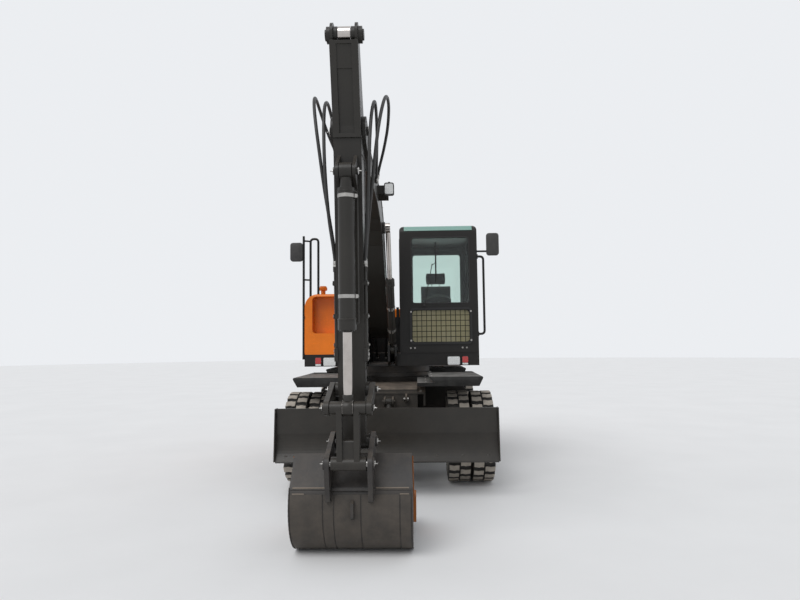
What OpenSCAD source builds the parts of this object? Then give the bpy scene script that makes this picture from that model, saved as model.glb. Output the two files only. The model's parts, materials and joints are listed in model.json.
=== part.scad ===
/* [Tyres and wheels] */
// Overall diameter of a tyre, over its lugs
tyre_d = 1020; // [960:10:1040]
// Width of one tyre
tyre_w = 250; // [230:5:255]
// Height of the tread lugs
lug_h = 24; // [14:1:28]
// Lugs round one half of the tread
lug_count = 24; // [18:1:28]
// Diameter of the rim at the bead
rim_d = 510; // [490:5:530]
// Distance between the middles of a pair of twin tyres
twin_pitch = 268; // [262:1:280]
// Overall width across the outer tyres
track_w = 2340; // [2320:10:2420]
// Distance between the axles
wheelbase = 2500; // [2440:10:2700]

/* [Chassis] */
// Width of the chassis beam between the wheels
beam_w = 640; // [560:10:660]
// Top of the chassis beam above the ground
beam_top = 1090; // [1080:5:1110]
// Height of the chassis beam over the axles
beam_h = 370; // [320:10:400]
// Overhang of the chassis beam past each axle
beam_overhang = 270; // [240:5:290]
// Outer diameter of the slewing ring
ring_d = 1020; // [900:10:1080]
// Top of the mudguards above the ground
guard_top = 1213; // [1200:1:1230]
// Thickness of a mudguard box
guard_h = 105; // [80:5:110]

/* [Blade] */
// Width of the dozer blade
blade_w = 2300; // [2100:10:2340]
// Height of the dozer blade
blade_h = 530; // [480:10:540]
// Length of the blade's parallel links between pins
blade_link = 400; // [380:5:410]
// Angle of the links above level with the blade raised
blade_raise = 42; // [36:1:44]

/* [House] */
// Underside of the slewing house above the ground
house_z = 1300; // [1290:1:1330]
// Half of the width of the slewing house
house_half = 1095; // [1060:5:1120]
// Radius of the tail about the slewing axis
tail_r = 1880; // [1840:5:1950]
// Distance of the house front ahead of the slewing axis
house_front = 800; // [780:5:830]
// Height of the frame apron
apron_h = 150; // [120:5:160]
// Top of the side body above the ground
body_top = 2187; // [2120:5:2240]

/* [Cab] */
// Width of the cab
cab_w = 985; // [960:5:1000]
// Length of the cab
cab_l = 1540; // [1480:10:1560]
// Top of the cab roof above the ground
cab_top = 3020; // [2960:5:3080]
// Thickness of the cab walls and of the door
cab_wall = 45; // [40:1:55]

/* [Boom and arm] */
// Sideways place of the boom's middle plane
boom_x = -170; // [-180:1:-165]
// Width of the boom's box section
boom_w = 240; // [220:5:250]
// Distance of the boom foot pin ahead of the slewing axis
foot_y = 450; // [430:5:470]
// Height of the boom foot pin
foot_z = 1750; // [1730:5:1780]
// Distance of the arm's pivot ahead of the slewing axis
pivot_y = 3850; // [3800:10:3900]
// Height of the arm's pivot
pivot_z = 3200; // [3150:10:3250]
// Width of the arm
arm_w = 200; // [180:5:205]
// Distance of the bucket pin ahead of the slewing axis
tip_y = 3670; // [3620:10:3700]
// Height of the bucket pin
tip_z = 826; // [820:1:850]

/* [Bucket] */
// Width of the bucket
bucket_w = 840; // [700:10:900]
// Distance between the bucket's two pins
pin_gap = 330; // [320:1:340]
// Distance between the arm's two lower pins
link_gap = 400; // [390:1:410]
// Plate thickness of the bucket
bucket_t = 20; // [14:1:25]
// Teeth on the bucket
tooth_count = 5; // [4:1:6]

/* [Hidden] */
$fn = 64;

// Running clearance of a pin in its bore
pin_fit = 0.3;
// Side gap between moving pieces at a pin
side_gap = 5;

// A profile in the side plane, given as [Y, Z], made solid from X = x0 to X = x1
module side(x0, x1) {
    translate([x0, 0, 0])
        rotate([90, 0, 90])
            linear_extrude(x1 - x0)
                children();
}

// A round bar along X through the side-plane point p
module bar(x0, x1, p, d) {
    translate([x0, p[0], p[1]])
        rotate([0, 90, 0])
            cylinder(d = d, h = x1 - x0);
}

// A round bar between two side-plane points at X = x
module strut(x, a, b, d) {
    v = b - a;
    translate([x, a[0], a[1]])
        rotate([atan2(-v[0], v[1]), 0, 0])
            cylinder(d = d, h = norm(v));
}

// The same children on both sides of the plane X = x
module both(x = 0) {
    translate([x, 0, 0]) {
        children();
        mirror([1, 0, 0]) children();
    }
}

// A flat link outline between two side-plane points, with round ends and tangent sides
module link2d(a, b, da, db) {
    dir = (b - a) / norm(b - a);
    lean = acos((da - db) / 2 / norm(b - a));
    translate(a) circle(d = da);
    translate(b) circle(d = db);
    polygon([
        a + da / 2 * turn(dir, lean), b + db / 2 * turn(dir, lean),
        b + db / 2 * turn(dir, -lean), a + da / 2 * turn(dir, -lean)
    ]);
}

// An ear: a round boss about c that widens along tangents to the two base points p and q
module ear2d(c, d, p, q) {
    side_sign = cross(c - p, q - p) > 0 ? -1 : 1;
    translate(c) circle(d = d);
    polygon([p, tangent(p, c, d / 2, side_sign), c, tangent(q, c, d / 2, -side_sign), q]);
}

function unit(v) = v / norm(v);
// Point at distance s along direction d from o, and t to its forward or upper side
function along(o, d, s, t) = o + s * d + t * [d[1], -d[0]];
function turn(v, a) = [v[0] * cos(a) - v[1] * sin(a), v[0] * sin(a) + v[1] * cos(a)];
// Where a line from p touches the circle of radius r about c, on the side given by s
function tangent(p, c, r, s) = let (v = c - p, l = norm(v)) p + sqrt(l * l - r * r) * turn(v / l, s * asin(r / l));
function arc(c, r, a0, a1, n) = [for (i = [0:n]) c + r * [cos(a0 + (a1 - a0) * i / n), sin(a0 + (a1 - a0) * i / n)]];

axle_z = tyre_d / 2;
front_y = -wheelbase / 2;
rear_y = wheelbase / 2;
outer_x = track_w / 2 - tyre_w / 2;
inner_x = outer_x - twin_pitch;
mid_x = (outer_x + inner_x) / 2;
king_x = 560;
spindle_d = 110;
hub_half = 150;

// Side-plane pins of the working gear at rest
foot = [-foot_y, foot_z];
pivot = [-pivot_y, pivot_z];
tip = [-tip_y, tip_z];
boom_dir = unit(pivot - foot);
arm_dir = unit(tip - pivot);
boom_len = norm(pivot - foot);
arm_len = norm(tip - pivot);
function bp(s, t) = along(foot, boom_dir, s, t);
function ap(s, t) = along(pivot, arm_dir, s, t);

// Pins of the cylinders
boom_cyl_base = [-820, 1500];
boom_cyl_eye = bp(1650, 500);
arm_cyl_base = bp(1400, 960);
arm_top_r = 680;
arm_top_a = 20;
arm_cyl_eye = pivot + arm_top_r * turn(-arm_dir, arm_top_a);
bucket_cyl_base = ap(360, 270);
link_pin = ap(arm_len - link_gap, 0);
bucket_pin2_a = 19.5;
bucket_pin2 = tip + pin_gap * [-cos(bucket_pin2_a), -sin(bucket_pin2_a)];
rod_pin = link_pin + (bucket_pin2 - tip);

// A hydraulic cylinder's fixed half: base eye, neck between the lugs, barrel and gland, with its rod bore
module barrel_half(x, base, eye, neck, len, barrel_d, rod_d, eye_w, eye_d, pin_d) {
    dir = unit(eye - base);
    difference() {
        union() {
            bar(x - eye_w / 2, x + eye_w / 2, base, eye_d);
            strut(x, base + dir * (eye_d / 2 - 8), base + dir * (neck + 10), min(barrel_d - 10, eye_w - 4));
            strut(x, base + dir * neck, base + dir * len, barrel_d);
            strut(x, base + dir * (len - 70), base + dir * len, barrel_d + 14);
        }
        bar(x - eye_w, x + eye_w, base, pin_d + pin_fit);
        strut(x, base + dir * (neck + 20), base + dir * (len + 10), rod_d + 2 * pin_fit);
    }
}

// A hydraulic cylinder's moving half: rod and rod eye
module rod_half(x, base, eye, from, rod_d, eye_w, eye_d, pin_d) {
    dir = unit(eye - base);
    difference() {
        union() {
            bar(x - eye_w / 2, x + eye_w / 2, eye, eye_d);
            strut(x, base + dir * from, eye - dir * (eye_d / 2 - 8), rod_d);
        }
        bar(x - eye_w, x + eye_w, eye, pin_d + pin_fit);
    }
}

// Chassis: beam over the axles, deep middle, ring seat and front and rear brackets
beam_bottom = beam_top - beam_h;
beam_end = wheelbase / 2 + beam_overhang;
ring_seat = 60;
blade_pivot_z = 360;
blade_rise = 220;
blade_pivot_y = -(beam_end + 50);
blade_lo = [blade_pivot_y, blade_pivot_z];
blade_hi = [blade_pivot_y, blade_pivot_z + blade_rise];
link_vec = blade_link * [-cos(blade_raise), sin(blade_raise)];
blade_cyl_base = [blade_pivot_y - 10, 930];
blade_cyl_eye = blade_lo + link_vec * 0.5;
lower_x = 280;
upper_x = 165;
link_t = 30;
lug_t = 20;
tow_d = 42;
tow_t = 35;

module chassis_frame() {
    color("dimgray") {
        difference() {
            union() {
                side(-beam_w / 2, beam_w / 2)
                    polygon([
                        [-beam_end, beam_bottom], [-beam_end, beam_top - 30], [-beam_end + 60, beam_top],
                        [beam_end, beam_top], [beam_end, beam_bottom + 60],
                        [beam_end - 100, beam_bottom], [700, beam_bottom], [560, 500],
                        [-560, 500], [-700, beam_bottom]
                    ]);
                translate([0, 0, beam_top - 60])
                    cylinder(d = ring_d + 60, h = 60 + ring_seat);
                side(-lower_x - 60, lower_x + 60)
                    polygon([
                        [-beam_end, 320], [-beam_end, beam_bottom + 20],
                        [-beam_end + 60, beam_bottom + 20], [-beam_end + 60, 320]
                    ]);
                both() for (x = [lower_x - link_t / 2 - side_gap - lug_t, lower_x + link_t / 2 + side_gap])
                    side(x, x + lug_t)
                        link2d(blade_lo, blade_lo + [70, 0], 90, 110);
                both() for (x = [upper_x - link_t / 2 - side_gap - lug_t, upper_x + link_t / 2 + side_gap])
                    side(x, x + lug_t)
                        link2d(blade_hi, blade_hi + [70, 0], 90, 110);
                both() side(30 + side_gap, 30 + side_gap + lug_t)
                    link2d(blade_cyl_base, blade_cyl_base + [80, 0], 90, 110);
                translate([-90, beam_end - 20, beam_bottom + 90]) cube([180, 130, tow_t]);
            }
            bar(-400, 400, blade_lo, 40 + pin_fit);
            bar(-400, 400, blade_hi, 40 + pin_fit);
            bar(-400, 400, blade_cyl_base, 40 + pin_fit);
            translate([0, beam_end + 60, 0]) cylinder(d = tow_d, h = beam_top);
        }
        both() bar(lower_x - 60, lower_x + 60, blade_lo, 40);
        both() bar(upper_x - 60, upper_x + 60, blade_hi, 40);
        bar(-70, 70, blade_cyl_base, 40);
    }
}

module slew_ring() {
    color("gray")
        translate([0, 0, beam_top + ring_seat])
            difference() {
                union() {
                    cylinder(d = ring_d, h = 50);
                    cylinder(d = ring_d - 50, h = house_z - beam_top - ring_seat - 0.5);
                }
                translate([0, 0, -1]) cylinder(d = ring_d - 240, h = 300);
            }
}

// Front axle: housing, differential, kingpin yokes and the steering cylinder
yoke_h = 110;
front_diff_d = 300;
rear_diff_d = 320;
tie_y = 200;
tie_z = axle_z + 70;
module front_axle() {
    color("dimgray") {
        difference() {
            union() {
                bar(-king_x + 110, king_x - 110, [front_y, axle_z], 170);
                translate([0, front_y, axle_z]) sphere(d = front_diff_d);
                both() side(king_x - 160, king_x - 90)
                    translate([front_y - 80, axle_z - yoke_h - 35]) square([160, 2 * yoke_h + 70]);
                both() for (z = [axle_z - yoke_h - 35, axle_z + yoke_h])
                    translate([king_x, front_y, z]) {
                        cylinder(d = 130, h = 35);
                        translate([-120, -65, 0]) cube([120, 130, 35]);
                    }
                bar(-230, 230, [front_y + tie_y, tie_z], 80);
                both() side(150, 190)
                    translate([front_y, tie_z - 30]) square([tie_y, 60]);
                side(-90, 90)
                    polygon([
                        [front_y - 110, beam_bottom], [front_y + 110, beam_bottom],
                        [front_y + 60, axle_z + 60], [front_y - 60, axle_z + 60]
                    ]);
            }
            bar(-400, 400, [front_y + tie_y, tie_z], 40 + 2 * pin_fit);
            both() translate([king_x, front_y, 0]) cylinder(d = 56 + pin_fit, h = 2 * axle_z);
        }
        both() translate([king_x, front_y, axle_z - yoke_h - 35]) cylinder(d = 56, h = 2 * yoke_h + 70);
    }
}

// Half of the rear axle's turned outline as [radius, X]: differential, tube, brake, spindle
axle_tube_r = 85;
brake_r = 110;
rear_half = concat(
    [for (a = [0:15:45]) rear_diff_d / 2 * [cos(a), sin(a)]],
    [
        [axle_tube_r, 150], [axle_tube_r, king_x + 60], [brake_r, king_x + 60],
        [brake_r, mid_x - hub_half - pin_fit], [spindle_d / 2, mid_x - hub_half - pin_fit],
        [spindle_d / 2, mid_x], [0, mid_x]
    ]
);
module rear_axle() {
    color("dimgray") {
        translate([0, rear_y, axle_z])
            ring_x(0, concat([for (i = [len(rear_half) - 1:-1:1]) [rear_half[i][0], -rear_half[i][1]]], rear_half));
        both() side(210, 290)
            polygon([
                [rear_y - 130, beam_bottom], [rear_y + 130, beam_bottom],
                [rear_y + 70, axle_z + 40], [rear_y - 70, axle_z + 40]
            ]);
    }
}

// A shaft from the gearbox that stops at the face of a differential of radius r about b
module drive_shaft(a, b, r) {
    strut(0, a, b - unit(b - a) * (r + pin_fit), 70);
}
module drive_line() {
    color("gray") {
        translate([-190, -250, 300]) cube([380, 560, 200]);
        rotate([90, 0, 0]) translate([0, 400, 250]) cylinder(d = 110, h = 60);
        drive_shaft([-300, 400], [front_y, axle_z], front_diff_d / 2);
        drive_shaft([300, 400], [rear_y, axle_z], rear_diff_d / 2);
    }
}

// Mudguard boxes over all four pairs of tyres: [sign of X, first Y, last Y]
guard_in = 460;
guard_out = 1000;
guard_foot = -110;
module mudguards() {
    color([0.12, 0.12, 0.12])
        for (g = [[1, -1800, -480], [-1, -1800, -480], [1, 560, 1800], [-1, 560, 1800]])
            scale_x(g[0])
                translate([0, g[2], guard_top - guard_h])
                    rotate([90, 0, 0])
                        linear_extrude(g[2] - g[1])
                            polygon([
                                [beam_w / 2 + 0.3, guard_foot], [beam_w / 2 + 25, guard_foot], [beam_w / 2 + 25, 0],
                                [guard_out - 20, 0], [guard_out, guard_h],
                                [guard_in, guard_h], [guard_in + 30, 40], [beam_w / 2 + 0.3, 40]
                            ]);
}
module scale_x(s) {
    if (s > 0) children();
    else mirror([1, 0, 0]) children();
}

module side_boxes() {
    color([0.14, 0.14, 0.14])
        both() translate([beam_w / 2, -430, 520]) difference() {
            cube([800, 860, 500]);
            translate([620, -1, 240]) cube([200, 862, 300]);
        }
}

// Knuckle: body on the kingpin, stub spindle and steering arm
module knuckle() {
    difference() {
        union() {
            translate([king_x, front_y, axle_z - yoke_h + 5]) cylinder(d = 120, h = 2 * yoke_h - 10);
            bar(king_x, mid_x - hub_half - 0.3, [front_y, axle_z], 150);
            bar(king_x, mid_x, [front_y, axle_z], spindle_d);
            translate([king_x - 30, front_y, tie_z - 53]) cube([60, tie_y, 28]);
            translate([king_x, front_y + tie_y, tie_z - 53]) cylinder(d = 60, h = 28);
        }
        translate([king_x, front_y, 0]) cylinder(d = 56 + 2 * pin_fit, h = 2 * axle_z);
    }
}
module knuckle_left() {
    color("dimgray") knuckle();
}
module knuckle_right() {
    color("dimgray") mirror([1, 0, 0]) knuckle();
}
module tie_rod() {
    color("silver") {
        bar(-king_x + 20, king_x - 20, [front_y + tie_y, tie_z], 40);
        both() translate([king_x, front_y + tie_y, tie_z - 25 + pin_fit]) cylinder(d = 56, h = 41);
    }
}

// Rims of one pair of twins, with the hub
rim_w = 204;
flange_h = 18;
bead_half = rim_w / 2 - 12;
module ring_x(x, pts) {
    translate([x, 0, 0]) rotate([0, 90, 0]) rotate_extrude() polygon(pts);
}
module rims() {
    r = rim_d / 2;
    for (x = [outer_x, inner_x])
        ring_x(x, [
            [r - 14, -rim_w / 2], [r + flange_h, -rim_w / 2], [r + flange_h, -bead_half], [r, -bead_half],
            [r, bead_half], [r + flange_h, bead_half], [r + flange_h, rim_w / 2], [r - 14, rim_w / 2]
        ]);
    difference() {
        union() {
            ring_x(mid_x, [
                [spindle_d / 2 + 0.3, -14], [r - 60, -14], [r - 14, -twin_pitch / 2 + rim_w / 2 - 14], [r - 2, -twin_pitch / 2 + rim_w / 2 - 2],
                [r - 2, twin_pitch / 2 - rim_w / 2 + 2], [r - 14, twin_pitch / 2 - rim_w / 2 + 14], [r - 60, 14], [spindle_d / 2 + 0.3, 14]
            ]);
            ring_x(mid_x, [[0, 12], [150, 12], [150, 90], [110, 130], [0, 130]]);
            ring_x(mid_x, [[spindle_d / 2 + 0.3, -hub_half], [140, -hub_half], [150, -12], [spindle_d / 2 + 0.3, -12]]);
        }
        for (i = [0:7])
            rotate([45 * i, 0, 0]) translate([mid_x - 100, 0, 185]) rotate([0, 90, 0]) cylinder(d = 44, h = 200);
    }
}
module tyre() {
    r = tyre_d / 2 - lug_h;
    b = rim_d / 2;
    h = tyre_w / 2;
    pitch = 360 / lug_count;
    rotate([0, 90, 0]) rotate_extrude()
        polygon([
            [b + pin_fit, -bead_half + pin_fit], [b + flange_h + 1, -bead_half + pin_fit], [b + 40, -h * 0.94], [b + 110, -h], [r - 60, -h * 0.98], [r - 12, -h * 0.9],
            [r, -h * 0.6], [r, h * 0.6], [r - 12, h * 0.9], [r - 60, h * 0.98], [b + 110, h], [b + 40, h * 0.94],
            [b + flange_h + 1, bead_half - pin_fit], [b + pin_fit, bead_half - pin_fit]
        ]);
    for (s = [0, 1])
        rotate([pitch / 2 * s, 0, 0])
            translate([s == 0 ? 0 : -h * 0.94, 0, 0])
                rotate([0, 90, 0])
                    linear_extrude(h * 0.94)
                        for (i = [0:lug_count - 1])
                            rotate(pitch * i)
                                polygon([[r - 40, -34], [r + lug_h - 1, -22], [r + lug_h - 1, 22], [r - 40, 34]]);
}
module wheel_at(y, s) {
    translate([0, y, axle_z]) scale_x(s) children();
}
module tyres() {
    for (x = [outer_x, inner_x]) translate([x, 0, 0]) tyre();
}
module rims_front_left() { color("dimgray") wheel_at(front_y, 1) rims(); }
module rims_front_right() { color("dimgray") wheel_at(front_y, -1) rims(); }
module rims_rear_left() { color("dimgray") wheel_at(rear_y, 1) rims(); }
module rims_rear_right() { color("dimgray") wheel_at(rear_y, -1) rims(); }
module tyres_front_left() { color([0.2, 0.2, 0.2]) wheel_at(front_y, 1) tyres(); }
module tyres_front_right() { color([0.2, 0.2, 0.2]) wheel_at(front_y, -1) tyres(); }
module tyres_rear_left() { color([0.2, 0.2, 0.2]) wheel_at(rear_y, 1) tyres(); }
module tyres_rear_right() { color([0.2, 0.2, 0.2]) wheel_at(rear_y, -1) tyres(); }

// Blade: parallel links, mouldboard with its back brackets, cylinder
blade_lo_pin = blade_lo + link_vec;
blade_hi_pin = blade_hi + link_vec;
blade_bottom = 385;
blade_face = -2125;
blade_t = 28;
blade_back = blade_face + 85;
cross_tube = blade_cyl_eye + [0, -100];
module blade_lower_links() {
    color("dimgray") {
        difference() {
            union() {
                both() side(lower_x - link_t / 2, lower_x + link_t / 2) {
                    link2d(blade_lo, blade_lo_pin, 90, 90);
                    link2d(blade_cyl_eye, cross_tube, 82, 78);
                }
                bar(-lower_x, lower_x, cross_tube, 66);
                both() side(35, 53) link2d(blade_cyl_eye, cross_tube, 80, 76);
            }
            bar(-400, 400, blade_lo, 40 + 2 * pin_fit);
            bar(-400, 400, blade_lo_pin, 40 + 2 * pin_fit);
            bar(-60, 60, blade_cyl_eye, 36);
        }
    }
}
module blade_upper_links() {
    color("dimgray")
        difference() {
            both() side(upper_x - link_t / 2, upper_x + link_t / 2)
                link2d(blade_hi, blade_hi_pin, 90, 90);
            bar(-400, 400, blade_hi, 40 + 2 * pin_fit);
            bar(-400, 400, blade_hi_pin, 40 + 2 * pin_fit);
        }
}
blade_curve_r = 320;
blade_curve_c = [blade_face - 300, blade_bottom + 195];
module blade_section() {
    top = blade_bottom + blade_h;
    a0 = asin((blade_bottom - blade_curve_c[1]) / blade_curve_r);
    a1 = 15;
    front = arc(blade_curve_c, blade_curve_r, a0, a1, 10);
    rear = arc(blade_curve_c, blade_curve_r + blade_t, a1, a0, 10);
    polygon(concat(front, [[front[10][0], top], [front[10][0] + blade_t, top]], rear));
}
module blade_panel() {
    color("dimgray") {
        difference() {
            union() {
                side(-blade_w / 2 + 12, blade_w / 2 - 12) blade_section();
                both() side(blade_w / 2 - 12, blade_w / 2)
                    polygon([
                        [blade_face - 60, blade_bottom], [blade_face - 15, blade_bottom + blade_h],
                        [blade_back, blade_bottom + blade_h], [blade_back, blade_bottom + 120], [blade_face, blade_bottom]
                    ]);
                side(-blade_w / 2 + 60, blade_w / 2 - 60)
                    polygon([
                        [blade_face + 38, blade_bottom + 400], [blade_face + 38, blade_bottom + 180],
                        [blade_back, blade_bottom + 220], [blade_back, blade_bottom + 360]
                    ]);
                both() for (x = [lower_x - link_t / 2 - side_gap - lug_t, lower_x + link_t / 2 + side_gap])
                    side(x, x + lug_t)
                        link2d(blade_lo_pin, [blade_back + 5, blade_lo_pin[1]], 90, 110);
                both() for (x = [upper_x - link_t / 2 - side_gap - lug_t, upper_x + link_t / 2 + side_gap])
                    side(x, x + lug_t)
                        link2d(blade_hi_pin, [blade_back + 5, blade_hi_pin[1] - 10], 90, 110);
                side(-lower_x - 60, lower_x + 60)
                    translate([blade_face + 38, blade_bottom + 150]) square([70, 370]);
            }
        }
        both() bar(lower_x - 60, lower_x + 60, blade_lo_pin, 40);
        both() bar(upper_x - 60, upper_x + 60, blade_hi_pin, 40);
    }
}
blade_cyl_len = 390;
module blade_barrel() {
    color("dimgray") barrel_half(0, blade_cyl_base, blade_cyl_eye, 70, blade_cyl_len, 84, 45, 60, 90, 40);
}
module blade_rod() {
    color("silver") rod_half(0, blade_cyl_base, blade_cyl_eye, 100, 45, 60, 80, 36);
}

// Hinges: round knuckles on one axis, the door's between the frame's two
hinge_r = 11;
hinge_l = 50;
hinge_x = house_half + hinge_r + 1;
// One knuckle on the vertical axis through the origin, with its leaf towards s times Y
module hinge_knuckle(z, s) {
    translate([0, 0, z]) {
        cylinder(r = hinge_r, h = hinge_l - 2 * pin_fit);
        translate([-hinge_r - 1, s > 0 ? 0 : -45, 0]) cube([hinge_r + 1, 45, hinge_l - 2 * pin_fit]);
    }
}
module hinge_frame_half(x, y, s, zs) {
    for (z = zs, dz = [-hinge_l, hinge_l])
        translate([x, y, 0]) hinge_knuckle(z + dz + pin_fit, s);
}
module hinge_door_half(x, y, s, zs) {
    for (z = zs) translate([x, y, 0]) hinge_knuckle(z, s);
}

// House frame: deck with its plan outline, boom foot plates, bulkheads of the engine bay
deck_top = house_z + apron_h;
bay_front = 760;
bay_rear = 1450;
bay_top = 1980;
hood_top = 2110;
foot_w = 250;
plate_t = 25;
foot_plate = foot_w / 2 + side_gap;
cyl_off = 185;
cyl_eye_w = 50;
slot_half = cyl_off + cyl_eye_w / 2 + side_gap + plate_t;
foot_pin_d = 70;
cyl_pin_d = 55;
module upper_frame() {
    color([0.15, 0.15, 0.15]) {
        difference() {
            translate([0, 0, house_z])
                linear_extrude(apron_h)
                    difference() {
                        polygon([
                            [-house_half, -house_front], [house_half, -house_front],
                            [house_half, bay_rear], [-house_half, bay_rear]
                        ]);
                        translate([boom_x - slot_half, -house_front - 1])
                            square([2 * slot_half, house_front - 350]);
                    }
            translate([0, 0, house_z + 30]) translate([boom_x - slot_half, -400, 0])
                cube([2 * slot_half, 500, apron_h]);
        }
        difference() {
            union() {
                translate([boom_x, 0, 0]) both() side(foot_plate, foot_plate + plate_t) {
                    polygon([
                        [-900, house_z + 60], [-900, house_z + 260], [-600, foot_z - 60], [-350, foot_z + 90],
                        [-200, foot_z + 60], [200, house_z + 200], [200, house_z + 30], [-500, house_z], [-820, house_z]
                    ]);
                    translate(foot) circle(d = 230);
                }
                translate([boom_x, 0, 0]) both()
                    side(cyl_off + cyl_eye_w / 2 + side_gap, slot_half)
                        polygon([
                            [-900, house_z + 120], [-900, house_z + 240], [-840, house_z + 265],
                            [-760, house_z + 240], [-450, house_z + 150], [-450, house_z], [-820, house_z]
                        ]);
                side(boom_x - slot_half, boom_x + slot_half)
                    polygon([[-820, house_z], [-820, house_z + 25], [-350, house_z + 30], [-350, house_z]]);
            }
            bar(boom_x - 400, boom_x + 400, boom_cyl_base, cyl_pin_d + pin_fit);
        }
        bar(boom_x - foot_plate - plate_t - 20, boom_x + foot_plate + plate_t + 20, foot, foot_pin_d);
        translate([boom_x, 0, 0]) both()
            bar(foot_plate, slot_half + 12, boom_cyl_base, cyl_pin_d);
        for (y = [bay_front, bay_rear - 20])
            translate([-house_half, y, deck_top]) cube([2 * house_half, 20, bay_top - deck_top]);
        both() hinge_frame_half(hinge_x, bay_door_y, -1, bay_hinge_z);
        for (x = hood_hinge_x) {
            translate([x - 20, hood_hinge_y - 7, bay_top - 120]) cube([40, 15, hood_top + 12 - bay_top + 120]);
            bar(x - 20, x + 20, [hood_hinge_y, hood_top + 12], 2 * hinge_r);
        }
    }
}
bay_door_y = bay_front + 22;
bay_hinge_z = [deck_top + 130, bay_top - 130];
hood_hinge_x = [-330, 30];
hood_hinge_y = bay_front - 8;
module counterweight() {
    color("darkorange")
        intersection() {
            translate([-house_half, bay_rear, house_z]) cube([2 * house_half, 600, 900]);
            rotate_extrude()
                polygon([
                    [0, house_z], [tail_r - 60, house_z], [tail_r, house_z + 60],
                    [tail_r, hood_top - 160], [tail_r - 60, hood_top - 60], [0, hood_top - 60]
                ]);
        }
}
module engine_block() {
    color("gray") translate([-450, bay_front + 90, deck_top]) cube([900, 480, 480]);
}
skin = 25;
module engine_hood() {
    color("darkorange")
        difference() {
            side(-house_half, house_half)
                polygon([
                    [bay_front + 5, bay_top + 5], [bay_front + 5, hood_top - 20], [bay_front + 25, hood_top],
                    [bay_rear - 80, hood_top], [bay_rear - 25, hood_top - 60], [bay_rear - 25, bay_top + 5]
                ]);
            translate([-house_half + skin, bay_front + 5 + skin, bay_top])
                cube([2 * (house_half - skin), bay_rear - bay_front - 30 - 2 * skin, hood_top - bay_top - skin]);
        }
    color("darkorange") for (x = hood_hinge_x) {
        bar(x + 20 + pin_fit, x + 60, [hood_hinge_y, hood_top + 12], 2 * hinge_r);
        translate([x + 20 + pin_fit, hood_hinge_y, hood_top - 1]) cube([40 - pin_fit, 70, 8]);
    }
}
module bay_door() {
    difference() {
        translate([house_half - skin, bay_front + 25, deck_top + 5])
            cube([skin, bay_rear - bay_front - 50, bay_top - deck_top - 10]);
        for (i = [0:8])
            translate([house_half - skin / 2, bay_front + 120, deck_top + 120 + 38 * i])
                cube([skin, 380, 16]);
    }
    hinge_door_half(hinge_x, bay_door_y, 1, bay_hinge_z);
}
module side_door_left() { color("darkorange") bay_door(); }
module side_door_right() { color("darkorange") mirror([1, 0, 0]) bay_door(); }

// Side body with the tank on the right of the boom
body_in = boom_x - slot_half - 20;
body_r = 170;
module side_body() {
    color("darkorange")
        difference() {
            translate([0, bay_front - 5, 0]) rotate([90, 0, 0])
                linear_extrude(bay_front - 5 + house_front)
                    polygon(concat(
                        [[body_in, deck_top], [body_in, body_top]],
                        arc([-house_half + body_r, body_top - body_r], body_r, 90, 180, 8),
                        [[-house_half, deck_top]]
                    ));
            translate([-house_half + 150, -house_front - 1, deck_top + 250]) cube([330, 140, 450]);
        }
    color("darkorange") translate([-890, -600, body_top]) {
        cylinder(d = 60, h = 60);
        translate([0, 0, 60]) cylinder(d = 100, h = 60);
    }
}

// Cab: hollow shell with its windows cut, glass, door, guard grille
cab_x1 = house_half;
cab_x0 = cab_x1 - cab_w;
cab_y0 = -house_front;
cab_y1 = cab_y0 + cab_l;
sill_z = 2040;
door_y0 = cab_y0 + 100;
door_y1 = door_y0 + 850;
door_z0 = deck_top + 50;
door_z1 = cab_top - 130;
screen_x = [cab_x0 + 120, cab_x1 - 120];
screen_z = [sill_z + 30, cab_top - 145];
low_z = [deck_top + 110, sill_z - 30];
glass_t = 6;
module cab_outline(inset) {
    polygon([
        [cab_y0 + inset, deck_top + inset], [cab_y0 + inset, sill_z], [cab_y0 + 40 + inset, cab_top - 90],
        [cab_y0 + 90 + inset, cab_top - inset], [cab_y1 - 60, cab_top - 10 - inset], [cab_y1 - inset, cab_top - 90],
        [cab_y1 - inset, deck_top + inset]
    ]);
}
module cab_frame() {
    color([0.22, 0.23, 0.24])
        difference() {
            side(cab_x0, cab_x1) cab_outline(0);
            side(cab_x0 + cab_wall, cab_x1 - cab_wall) cab_outline(cab_wall);
            translate([screen_x[0], cab_y0 - 10, screen_z[0]])
                cube([screen_x[1] - screen_x[0], 200, screen_z[1] - screen_z[0]]);
            translate([screen_x[0], cab_y0 - 10, low_z[0]])
                cube([screen_x[1] - screen_x[0], 100, low_z[1] - low_z[0]]);
            translate([cab_x1 - cab_wall - 1, door_y0, door_z0])
                cube([cab_wall + 2, door_y1 - door_y0, door_z1 - door_z0]);
            translate([cab_x1 - cab_wall - 1, door_y1 + 90, sill_z])
                cube([cab_wall + 2, cab_y1 - door_y1 - 180, screen_z[1] - sill_z]);
            translate([cab_x0 - 1, door_y0, sill_z])
                cube([cab_wall + 2, cab_l - 200, screen_z[1] - sill_z]);
            translate([screen_x[0], cab_y1 - cab_wall - 1, sill_z + 90])
                cube([screen_x[1] - screen_x[0], cab_wall + 2, screen_z[1] - sill_z - 90]);
        }
    color([0.22, 0.23, 0.24]) hinge_frame_half(hinge_x, door_y1, 1, door_hinge_z);
}
door_hinge_z = [door_z0 + 200, door_z1 - 260];
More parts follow.
